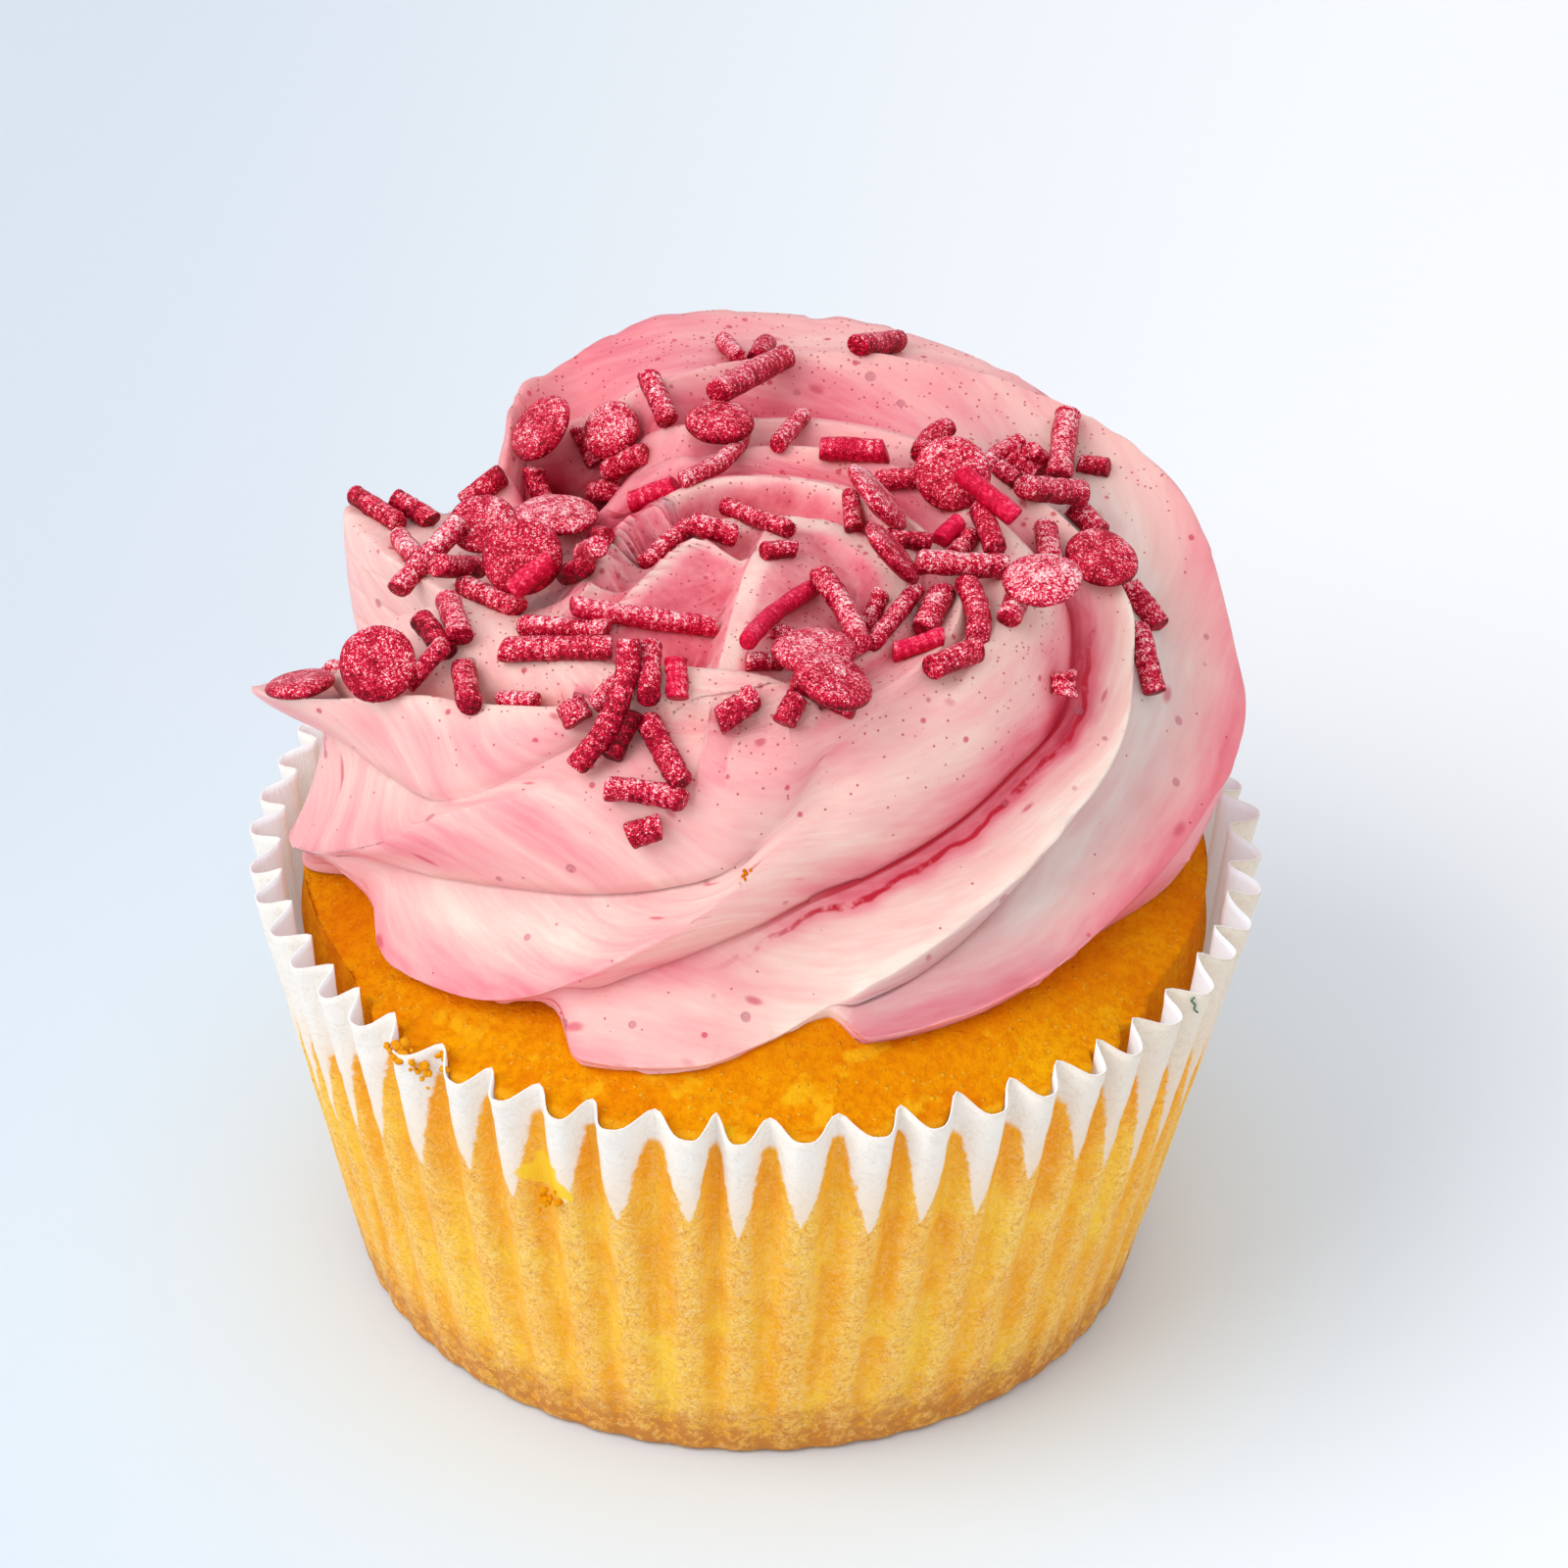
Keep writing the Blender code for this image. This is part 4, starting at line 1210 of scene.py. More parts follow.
def makeButtercream():
    # the profile turned once round from the seam, its crests rounded along the rows, then moved
    # along its normals by slow waves, fine lines that follow the ridges and ragged crest edges
    own = buttercream
    columns = own["columns"]
    turn = own["seam"] + fullTurn * np.arange(columns) / columns
    rows, layers, top = swirlProfile(turn)
    tint, crestNess, grooveNess, across, cleft, mauve = layers
    seamShare = spreadEvenly(turn, top, rows, *layers)
    ease = np.clip(crestNess * 1.5, 0.0, 1.0) * (1 - grooveNess)
    for again in range(own["rounding"]):
        shift = np.zeros_like(rows)
        shift[1:top - 1] = 0.5 * (rows[:top - 2] + rows[2:top]) - rows[1:top - 1]
        rows = rows + 0.5 * shift * ease[..., None]
    angle = np.radians(turn)
    grid = np.stack([rows[..., 0] * np.cos(angle), rows[..., 0] * np.sin(angle), rows[..., 1]], axis=-1)
    layFolds(grid[:top], tint[:top])
    normal = outwardNormals(grid)
    flow, across = flowAlong(turn, grid, rows, across, seamShare)
    outside = np.ones((len(rows), 1))
    outside[top - 2:] = 0.0
    outside[:2] = 0.3
    wave = softNoise(grid, own["waveSizes"][0], 31) + 0.5 * softNoise(grid, own["waveSizes"][1], 32)
    line = softNoise(flow * (0.6, 0.6, 1.0), own["lineSizes"][0], 33)
    line = line + 0.6 * softNoise(flow, own["lineSizes"][1], 34)
    ragged = softNoise(grid, own["raggedSizes"][0], 35)
    ragged = ragged * (softNoise(grid, own["raggedSizes"][1], 36) > -0.2)
    outer = np.clip((across - own["raggedFrom"]) / own["raggedOver"], 0.0, 1.0)
    ragged = ragged * np.clip(crestNess, 0, 1) * outer
    push = outside * (own["wave"] * wave + own["line"] * line + own["ragged"] * ragged)
    grid = grid + normal * push[..., None]
    grid[0] = grid[0].mean(axis=0)

    def flat(layer):
        # all points of a layer: the rows past the centre, then the centre and the underside's middle
        return np.concatenate([layer[1:].reshape(-1, *layer.shape[2:]), layer[:1, 0], layer[-1:, 0]])

    points = flat(grid)
    points[-1] = (0, 0, crustHeight(0.0) - own["sink"])
    rowsLeft = len(rows) - 1
    count = rowsLeft * columns
    ring = np.arange(columns)
    faces = [gridFaces(rowsLeft, columns, True), fanFaces(ring, count, False)]
    faces += [fanFaces(ring + count - columns, count + 1, True)]
    streak = between(turn, *own["crimsonSpan"]) + 0 * tint
    values = {"dye": flat(tint), "flow": flat(flow), "cleft": flat(cleft), "mauve": flat(mauve),
              "streak": flat(streak)}
    piece = addPiece("buttercream_swirl", points, faces, values, replaced="buttercream")
    piece.data.materials.append(pinkButtercream)
    return piece


creamLook = {
    # share of fullDye, and colour
    "dyed": ((0.0, sRgb(252, 229, 217)), (0.1, sRgb(249, 207, 197)), (0.21, sRgb(245, 184, 180)),
             (0.32, sRgb(241, 154, 160)), (0.44, sRgb(231, 112, 128)), (0.58, sRgb(204, 54, 78)),
             (0.75, sRgb(160, 14, 40)), (1.0, sRgb(84, 4, 20))),
    "fullDye": 2.0,
    "wideShare": 0.75,
    "fineShare": 0.3,
    "patchShare": 0.35,
    "secondAt": 1.15,  # distance of the second line from the cleft
    "wanders": 1.6,
    "smear": 0.3,
    "crimson": sRgb(200, 8, 46),
    # mauve: greyer tint over that valley, its own tint together with painted shade
    "mauve": sRgb(222, 224, 232),
    "mauveShare": 0.8,
    "dash": sRgb(204, 50, 80),
    "dashOften": 0.15,  # share of cells
    "dashShare": 0.65,
    # bubble: colour inside the burst bubbles, partly painted shade in the pits
    "bubble": sRgb(196, 100, 118),
    "bubbleScale": 0.45,
    "bubbleSizes": (0.34, 0.16),  # most, and what is taken off it
    "bubbleShare": 0.6,
    "speckHeights": (42.0, 50.0),  # few below, most above
    "speckOften": (0.015, 0.4),  # share of cells
    "specks": ((2.6, 1.0, sRgb(180, 12, 40)), (1.1, 0.4, sRgb(206, 40, 72))),  # scale, share and colour
    "speckShare": 0.75,
    # strength and height of grain, streaks and bubbles
    "bumps": ((0.25, 0.12), (0.4, 0.2), (0.5, 0.3)),
}


def makePinkButtercream():
    # cream, pink and crimson by the dye attribute, streaked along the ridges; two thin crimson
    # lines by the cleft, a mauve valley that is partly painted shade, burst bubbles with painted
    # shade inside, and red specks, thickest on top
    look = creamLook
    made, tree, shader = newMaterial(
        "pink buttercream", Roughness=0.42, Subsurface_Weight=0.3, Subsurface_Scale=0.0015,
        Subsurface_Radius=(1.0, 0.4, 0.3), Specular_IOR_Level=0.3)
    where = inMillimetres(tree)
    flow = attributeOf(tree, "flow", vector=True)
    fine = noiseOf(tree, flow, 2.6, 3.0, 0.6)
    amount = attributeOf(tree, "dye")
    for part, share in ((noiseOf(tree, flow, 0.55, 3.0, 0.6), look["wideShare"]), (fine, look["fineShare"]),
                        (noiseOf(tree, where, 0.14, 2.0), look["patchShare"])):
        amount = plus(tree, amount, times(tree, minus(tree, part, 0.5), share))
    # the first line lies in the cleft and the second wanders beside it, broken and smeared
    cleft = attributeOf(tree, "cleft")
    streak = attributeOf(tree, "streak")
    first = fade(tree, unsigned(tree, cleft), 0.36, 0.1)
    sway = times(tree, aboutZero(tree, where, 0.35, 2.0), look["wanders"])
    off = unsigned(tree, minus(tree, plus(tree, cleft, sway), look["secondAt"]))
    broken = fade(tree, noiseOf(tree, where, 0.55, 3.0, 0.65), 0.34, 0.5)
    second = times(tree, fade(tree, off, 0.28, 0.1), broken)
    smear = times(tree, fade(tree, off, 1.2, 0.2), look["smear"])
    amount = plus(tree, amount, times(tree, smear, streak))
    colour = rampOf(tree, calc(tree, "DIVIDE", amount, look["fullDye"]), look["dyed"])
    # the mauve valley: painted shade over its own greyer tint
    mauve = times(tree, attributeOf(tree, "mauve"), look["mauveShare"])
    colour = paint(tree, colour, look["mauve"], mauve, mode="MULTIPLY")
    colour = paint(tree, colour, look["crimson"], calc(tree, "MAXIMUM", first, second), streak)
    # short dashes of dye along the ridges
    gap, lot = cellsIn(tree, calcVector(tree, "MULTIPLY", flow, (2.6, 2.6, 1.0)), 0.85)
    dash = times(tree, fade(tree, gap, 0.24, 0.08), calc(tree, "LESS_THAN", lot, look["dashOften"]))
    colour = paint(tree, colour, look["dash"], dash, look["dashShare"])
    # burst bubbles, mauve inside, darkened with painted shade in the pits
    gap, lot = cellsIn(tree, where, look["bubbleScale"])
    reach = minus(tree, times(tree, lot, look["bubbleSizes"][0]), look["bubbleSizes"][1])
    hole = fade(tree, minus(tree, gap, reach), 0.02, -0.03)
    colour = paint(tree, colour, look["bubble"], hole, look["bubbleShare"])
    # specks
    often = fade(tree, axisOf(tree, where, 2), *look["speckHeights"], look["speckOften"])
    for scale, part, dark in look["specks"]:
        gap, lot = cellsIn(tree, where, scale)
        seen = calc(tree, "LESS_THAN", lot, times(tree, often, part))
        dot = times(tree, seen, fade(tree, gap, 0.3, 0.14))
        colour = paint(tree, colour, dark, dot, look["speckShare"])
    tree.links.new(colour, shader.inputs["Base Color"])
    grain = noiseOf(tree, where, 3.0, 3.0, 0.6)
    bump = None
    for height, deep in zip((grain, fine, minus(tree, 1.0, hole)), look["bumps"]):
        bump = bumpOf(tree, height, *deep, bump)
    tree.links.new(bump, shader.inputs["Normal"])
    return made


pinkButtercream = makePinkButtercream()
icing = makeButtercream()
print("stage: buttercream made,", len(icing.data.polygons), "faces")


# Rods are x, y, heading, length, thickness and sideways bend, then 1 if bare of pearl dust or -1
# if dark.  Discs are x, y, width, thickness, the way they lean and how far.  Each is lowered on to
# what lies under it, in this order; stuck rods lie on the icing alone.
sprinkles = {
    "stuckRods": (
        (18.9, -5.3, 275, 1.5, 1.6, 0.0), (24.2, 7.2, 325, 3.4, 1.5, 0.0),
        (24.3, 2.5, 288, 4.8, 1.5, 0.0), (2.0, -14.8, 240, 2.4, 1.5, 0.0),
        (-6.7, -18.3, 348, 5.0, 1.5, 0.4), (-11.2, -13.5, 300, 1.5, 1.9, 0.0, -0.4),
        (-6.7, -19.5, 5, 2.1, 1.7, 0.0), (-5.6, -16.2, 297, 5.2, 1.6, 0.0),
        (-18.0, -9.2, 278, 4.2, 1.6, 0.0), (-14.8, -10.2, 330, 2.8, 1.2, 0.0),
        (-27.9, 0.3, 332, 5.0, 1.2, 0.0), (-6.7, -12.0, 270, 4.2, 1.5, 0.0),
    ),
    "lowRods": (
        (-24.8, 13.2, 307, 5.2, 1.4, 0.0), (-22.5, 13.0, 320, 3.4, 1.4, 0.0),
        (-22.5, 7.2, 290, 4.0, 1.4, 0.0), (-18.0, 15.5, 15, 3.0, 1.5, 0.0),
        (-17.0, -0.5, 318, 5.2, 1.5, 0.0), (-11.6, -0.7, 292, 4.8, 1.4, 0.0, -0.7),
        (-10.0, 1.8, 285, 2.4, 1.2, 0.0, -0.7), (-14.5, 16.5, 300, 3.0, 1.4, 0.0),
        (-11.5, 20.0, 303, 2.8, 1.5, 0.0), (-10.5, 16.5, 300, 2.4, 1.5, 0.0),
        (-7.0, 8.0, 10, 3.1, 1.5, 0.0, 0.7), (-3.0, 10.5, 242, 8.0, 1.2, 0.8),
        (-7.0, 18.0, 288, 4.6, 1.5, 0.0), (-0.5, 25.3, 260, 3.2, 1.4, 0.0),
        (-2.5, 25.0, 285, 4.4, 1.2, 0.0), (7.0, 25.5, 55, 5.0, 1.5, 0.0),
        (1.5, 14.5, 70, 4.8, 1.2, 0.0), (5.5, 11.5, 352, 4.3, 1.6, 0.0, 0.4),
        (8.5, 9.0, 345, 2.8, 1.4, 0.0, -0.7), (10.5, 14.0, 60, 3.5, 1.4, 0.3),
        (12.5, 2.5, 245, 2.4, 1.2, 0.0), (9.0, 1.5, 345, 3.1, 1.2, 0.0, -0.7),
        (5.5, 4.8, 275, 3.0, 1.2, 0.0), (15.0, 16.5, 52, 3.8, 1.4, 0.3),
        (16.5, 15.6, 335, 2.3, 1.4, 0.0), (17.5, 16.0, 30, 2.2, 1.2, 0.0),
        (21.0, 17.0, 355, 2.0, 1.2, 0.0), (20.5, 12.0, 312, 2.8, 1.6, 0.0),
        (15.3, 11.6, 315, 1.8, 1.2, 0.0), (7.0, -4.0, 240, 2.4, 1.2, 0.0),
        (8.2, -5.7, 245, 6.8, 1.2, 0.0), (10.6, -4.4, 253, 4.2, 1.7, 0.0),
        (9.7, -8.0, 18, 3.3, 1.2, 0.0, 0.8), (12.0, -9.4, 38, 3.9, 1.6, 0.0),
        (4.0, -13.4, 340, 4.2, 1.5, 0.0), (1.5, -7.5, 342, 2.0, 1.2, 0.0),
        (0.2, -10.2, 22, 2.3, 1.2, 0.0), (-1.3, -14.5, 32, 2.8, 1.7, 0.0),
        (-6.0, 2.0, 55, 5.0, 1.2, 0.0), (-3.2, 2.7, 350, 3.0, 1.5, 0.0),
        (-0.5, 4.0, 315, 6.0, 1.2, 0.0), (1.0, 0.0, 25, 2.2, 1.2, 0.0),
        (-12.0, -6.5, 338, 5.8, 1.5, 0.0), (-12.5, -8.3, 345, 7.3, 1.6, 0.0),
        (-20.2, -5.0, 303, 3.4, 1.5, 0.0, -1.0), (-19.0, -4.0, 283, 4.8, 1.6, 0.0),
        (-9.0, -12.5, 25, 2.7, 1.4, 0.0), (-5.0, -12.6, 275, 2.8, 1.4, 0.0, 0.6),
        (-8.3, -15.0, 48, 3.1, 1.5, 0.0, -1.0), (-20.6, -7.2, 355, 4.0, 1.2, 0.0),
        (-9.0, 16.0, 335, 3.6, 1.5, 0.0),
    ),
    "discs": (
        (-17.8, 7.5, 4.4, 1.2, 250, 20), (-13.0, 5.0, 5.1, 1.1, 90, 5),
        (-15.0, 0.5, 5.1, 1.4, 265, 40), (-14.5, 18.3, 4.8, 1.3, 200, 45),
        (-10.0, 18.2, 4.0, 1.8, 225, 45), (-3.0, 13.5, 4.4, 1.6, 90, 0),
        (11.8, 7.8, 4.9, 1.5, 265, 42), (7.0, 4.0, 5.3, 1.3, 17, 50), (8.0, -1.8, 4.8, 1.2, 17, 50),
        (3.3, -11.0, 5.3, 1.6, 80, 6), (4.5, -15.1, 5.1, 1.5, 355, 20),
        (-28.6, -4.0, 4.5, 1.1, 125, 20), (-23.6, -7.4, 4.8, 1.3, 272, 50),
    ),
    "topRods": (
        (-21.0, 4.3, 52, 6.5, 1.5, 0.0), (-19.0, 1.7, 50, 4.2, 1.5, 0.0),
        (-10.7, -1.8, 286, 5.0, 1.4, 0.0), (-14.3, -1.4, 30, 3.2, 1.4, 0.0, 0.7),
        (-1.0, 19.0, 60, 9.0, 1.7, 0.0), (14.0, 3.3, 282, 4.7, 1.5, 0.0),
        (14.0, 5.3, 320, 4.8, 1.4, 0.0, 0.8), (11.6, 3.3, 55, 2.3, 1.2, 0.0, 1.0),
        (12.3, -1.2, 15, 6.0, 1.6, 0.0), (18.3, 11.0, 37, 5.5, 1.7, 0.0),
        (19.0, 17.2, 265, 6.8, 1.7, 0.0), (17.9, 5.8, 275, 3.3, 1.6, 0.0),
        (15.7, -3.7, 255, 3.4, 1.6, 0.0), (13.2, -4.8, 278, 5.0, 1.6, 0.3),
        (1.0, -6.8, 66, 10.2, 1.2, 0.4, 0.8), (5.0, -6.1, 289, 8.2, 1.5, 0.3),
        (-9.0, -14.2, 241, 8.8, 1.5, 1.0), (-7.2, -6.3, 5, 9.0, 1.4, -0.2, 0.2),
    ),
    "topDiscs": (
        (17.3, -2.8, 4.9, 1.2, 230, 8), (21.3, 5.4, 4.7, 1.2, 310, 18),
    ),
    "sink": 0.25,  # into what carries them
    "steepest": 1.4,  # slope of a rod
    "around": 14,
    "rows": 18,
    "rib": 0.62,  # from one rib to the next
    "ribDepth": (0.01, 0.05),  # least and most, as a share of the radius
    "lump": 0.07,
    "lumpSize": 0.7,
    "skew": 0.35,  # of the cut ends
    "skewOver": 0.1,
    "endPlaces": (0.0, 0.008, 0.03, 0.07),  # shares of the length
    "endWidths": (0.72, 0.9, 0.98),  # shares of the thickness
    "discTurn": 12,  # degrees from spoke to spoke
    "discRings": (0.3, 0.6, 0.8, 0.92, 0.98, 1.0),  # shares of the radius
    "discPowers": (3.2, 0.45),
    "discUneven": 0.05,
    "discDent": 0.06,
}
# The square grid on which heights are kept: its step, its half side, how far out the icing is
# looked for, and the height where there is none
ground = {
    "step": 0.2,
    "side": 35.0,
    "reach": 34.0,
    "low": 20.0,
}


def makeRelief():
    # height of the icing's top surface on a square grid, by dropping rays on it
    line = np.arange(-ground["side"], ground["side"] + ground["step"], ground["step"])
    mesh = icing.data
    points = [vertex.co for vertex in mesh.vertices]
    tree = BVHTree.FromPolygons(points, [tuple(face.vertices) for face in mesh.polygons])
    heights = np.full((len(line), len(line)), ground["low"])
    down = Vector((0.0, 0.0, -1.0))
    for i, x in enumerate(line):
        for j, y in enumerate(line):
            if x * x + y * y < ground["reach"] ** 2:
                hit = tree.ray_cast(Vector((x + middle[0], y + middle[1], 100.0)) * mm, down)[0]
                if hit:
                    heights[i, j] = hit.z / mm - middle[2]
    return heights


def cellsOf(x, y):
    # the grid's nearest row and column for each place
    step = np.rint((np.stack([x, y]) + ground["side"]) / ground["step"]).astype(int)
    return tuple(np.clip(step, 0, len(relief) - 1))


def headingOf(angle):
    # (cosine, sine) of an azimuth
    return np.array([math.cos(math.radians(angle)), math.sin(math.radians(angle))])


def restRod(heights, x, y, heading, length, thick, bend):
    # the lowest straight line over the heights under a rod that holds it on both sides of its
    # middle, bent sideways by a parabola; gives the rod's axis as points
    t = np.linspace(-1.0, 1.0, 17)
    half = len(t) // 2
    ahead, side, radius = headingOf(heading), headingOf(heading + 90), thick / 2
    first, second = np.meshgrid(np.arange(half + 1), np.arange(half, len(t)))
    keep = first != second
    keep[0, 0] = False  # its first end and its middle alone don't hold it
    first, second = first[keep], second[keep]
    slope = 0.0
    for again in range(3):
        reach = length / 2 / math.hypot(1.0, slope)
        flat = np.array([x, y]) + t[:, None] * reach * ahead + (bend * (0.4 - t ** 2))[:, None] * side
        need = np.full(len(t), -99.0)
        for off in np.array([-0.8, -0.4, 0.0, 0.4, 0.8]) * radius:
            under = heights[cellsOf(*(flat + off * side).T)]
            need = np.maximum(need, under + math.sqrt(radius ** 2 - off ** 2))
        rise = (need[second] - need[first]) / (t[second] - t[first])
        rise = np.clip(rise, -sprinkles["steepest"] * reach, sprinkles["steepest"] * reach)
        start = np.max(need[None, :] - rise[:, None] * t[None, :], axis=1)
        best = np.argmin(start)
        slope = rise[best] / reach
    height = start[best] + rise[best] * t - sprinkles["sink"]
    axis = np.concatenate([flat, height[:, None]], axis=1)
    # what comes later rests on this rod too
    fine = np.linspace(0, len(t) - 1, 60)
    dense = np.array([np.interp(fine, np.arange(len(t)), part) for part in axis.T]).T
    for off in np.linspace(-0.95, 0.95, 9) * radius:
        top = dense[:, 2] + math.sqrt(radius ** 2 - off ** 2)
        np.maximum.at(relief, cellsOf(*(dense[:, :2] + off * side).T), top)
    return axis


def discFrame(towards, tilt):
    # three directions: two in the disc's plane, then its normal leaning `tilt` towards an azimuth
    lean = headingOf(towards)
    rise = math.radians(tilt)
    normal = np.array([*(lean * math.sin(rise)), math.cos(rise)])
    first = np.cross((0.0, 0.0, 1.0), (*lean, 0.0))
    return np.stack([first, np.cross(normal, first), normal])


def discForm(width, thick, seed):
    # a turned superellipse: half thickness (1 - share of the radius ^ 3.2) ^ 0.45, edge uneven
    around = np.radians(np.arange(0, 360, sprinkles["discTurn"]))
    share = np.array(sprinkles["discRings"])
    inner, outer = sprinkles["discPowers"]
    rise = np.clip(1.0 - share ** inner, 0.0, 1.0) ** outer
    radius = width / 2 * np.concatenate([share, share[-2::-1]])
    height = thick / 2 * np.concatenate([rise, -rise[-2::-1]])
    x, y = radius[:, None] * np.cos(around), radius[:, None] * np.sin(around)
    grid = np.stack([x, y, np.repeat(height[:, None], len(around), 1)], axis=-1)
    swell = 1.0 + sprinkles["discUneven"] * softNoise(grid + seed * 3.7, 1.6, 41)
    grid = grid * swell[..., None]
    grid[..., 2] += sprinkles["discDent"] * softNoise(grid + seed * 1.9, 0.9, 42)
    ends = np.array([[0, 0, thick / 2], [0, 0, -thick / 2]])
    return np.concatenate([grid.reshape(-1, 3), ends]), len(around), len(radius)


def restDisc(x, y, width, thick, towards, tilt, seed):
    # lowers a leaning disc until it touches the relief
    local, around, rows = discForm(width, thick, seed)
    points = local @ discFrame(towards, tilt) + (x, y, 0.0)
    lift = np.max(relief[cellsOf(*points[:, :2].T)] - points[:, 2]) - sprinkles["sink"]
    points[:, 2] += lift
    np.maximum.at(relief, cellsOf(*points[:, :2].T), points[:, 2])
    return points, around, rows


def closedFaces(rows, around, start):
    # faces of one closed form: its rings, then a fan to the point at each end
    ring = np.arange(around)
    last = (rows - 1) * around
    fans = [fanFaces(ring, rows * around, False), fanFaces(ring + last, rows * around + 1, True)]
    return [gridFaces(rows, around, True) + start] + [fan + start for fan in fans]


def rodForms(axes, thick, seed):
    # every rod at once: a circle carried along each axis, ribbed by a sine of the distance along
    # it, lumpy, its ends cut a little askew and rounded
    own = sprinkles
    count, rows, around = len(axes), own["rows"], own["around"]
    chance = np.random.default_rng(seed)
    ends, widths = np.array(own["endPlaces"]), np.array(own["endWidths"])
    plain = rows - 2 * len(widths)
    ease = np.concatenate([ends[:-1], np.linspace(ends[-1], 1 - ends[-1], plain), 1 - ends[-2::-1]])
    form = np.concatenate([widths, np.ones(plain), widths[::-1]])
    last = axes.shape[1] - 1
    low = np.minimum((ease * last).astype(int), last - 1)
    part = (ease * last - low)[None, :, None]
    path = axes[:, low] * (1 - part) + axes[:, low + 1] * part
    ahead = np.gradient(path, axis=1)
    ahead /= np.linalg.norm(ahead, axis=-1, keepdims=True)
    side = np.cross(ahead, (0.0, 0.0, 1.0))
    side /= np.linalg.norm(side, axis=-1, keepdims=True)
    up = np.cross(side, ahead)
    length = np.linalg.norm(axes[:, 1:] - axes[:, :-1], axis=-1).sum(axis=1)
    far = length[:, None] * ease
    phase = chance.uniform(0, 6.28, (count, 1))
    ribbed = chance.uniform(*own["ribDepth"], (count, 1))
    angle = np.radians(fullTurn) * np.arange(around) / around
    rib = 1 + ribbed * np.sin(2 * np.pi * far / own["rib"] + phase)
    radius = thick[:, None] / 2 * form * rib
    spoke = np.cos(angle)[:, None] * side[:, :, None, :] + np.sin(angle)[:, None] * up[:, :, None, :]
    grid = path[:, :, None, :] + radius[:, :, None, None] * spoke
    lump = softNoise(grid + chance.uniform(0, 50, (count, 1, 1, 1)), own["lumpSize"], seed + 1)
    grid = grid + own["lump"] * lump[..., None] * spoke
    skew = chance.uniform(-own["skew"], own["skew"], (count, 2, 2))
    atEnd = np.clip(1 - np.stack([ease, 1 - ease]) / own["skewOver"], 0, 1)
    slant = np.einsum("nek,er,ka->nra", skew, atEnd, np.stack([np.cos(angle), np.sin(angle)]))
    grid = grid + (slant * radius[:, :, None])[..., None] * ahead[:, :, None, :]
    points = np.concatenate([grid.reshape(count, -1, 3), path[:, :1], path[:, -1:]], axis=1)
    along = np.repeat(far, around, axis=1)
    along = np.concatenate([along, np.zeros((count, 1)), length[:, None]], axis=1)
    return points, along


def makeSprinkles():
    # lays every sprinkle in turn, then joins the rods in one piece and the discs in another
    axes, thick, discs, coat = [], [], [], []
    bareRelief = relief.copy()
    for layer in ("stuckRods", "lowRods", "discs", "topRods", "topDiscs"):
        for row in sprinkles[layer]:
            if "Rods" in layer:
                axes.append(restRod(bareRelief if layer == "stuckRods" else relief, *row[:6]))
                thick.append(row[4])
                coat.append(row[6] if len(row) > 6 else 0.0)
            else:
                discs.append(restDisc(*row, len(discs)))
    points, along = rodForms(np.array(axes), np.array(thick), 51)
    count, size = points.shape[:2]
    chance = np.random.default_rng(52)
    pearl = np.repeat(chance.uniform(0, 1, count), size)
    coat = np.repeat(np.array(coat), size)
    faces = []
    for index in range(count):
        faces += closedFaces(sprinkles["rows"], sprinkles["around"], index * size)
    values = {"along": along.ravel(), "pearl": pearl, "bare": np.maximum(coat, 0.0),
              "dark": np.maximum(-coat, 0.0)}
    rods = addPiece("sprinkle_rods", points.reshape(-1, 3), faces, values)
    points = np.concatenate([form for form, around, rows in discs])
    faces, start = [], 0
    for form, around, rows in discs:
        faces += closedFaces(rows, around, start)
        start += len(form)
    values = {label: np.zeros(len(points)) for label in ("along", "bare", "dark")}
    values["pearl"] = np.repeat(chance.uniform(0, 1, len(discs)), [len(form) for form, *rest in discs])
    plates = addPiece("sprinkle_discs", points, faces, values)
    for piece in (rods, plates):
        piece.data.materials.append(pearlSugar)
    print("stage: sprinkles made,", count, "rods and", len(discs), "discs")


sugarLook = {
    # tone and colour
    "tones": ((0.0, sRgb(84, 0, 14)), (0.2, sRgb(146, 0, 30)), (0.42, sRgb(202, 2, 48)),
              (0.58, sRgb(230, 34, 78)), (0.72, sRgb(248, 138, 154)), (0.88, sRgb(255, 236, 234))),
    "level": 0.28,  # tone of a side that faces sideways
    # paintedTopLight: tone added to sides that face up, painted light from above
    "paintedTopLight": 0.26,
    "leastUp": -0.3,
    "blotchShare": 0.9,
    "clusterScale": 4.5,
    "clusterShare": 1.4,
    "pearlShare": 0.2,
    # ribTurn and ribShare: darker and lighter rings along each rod, painted shade of the ribs
    "ribTurn": 10.1,  # radians to a millimetre
    "ribShare": 0.07,
    "darkShare": 0.22,
    # dust and glitter: pale grains of pearl dust, partly painted glints
    "dustScale": 8.5,
    "dustOften": 0.24,  # share of cells
    "glitterScale": 14.0,
    "glitterOften": 0.3,
    "dustShare": 0.34,
    "bareDust": 0.2,
    "pitOften": 0.86,  # cells above this share are pits
    "pitShare": 0.3,
    "bareDeep": sRgb(206, 4, 48),
    "bareBright": sRgb(246, 24, 84),
    "bareShare": 0.85,
    "bump": (0.7, 0.14),  # strength and height
}


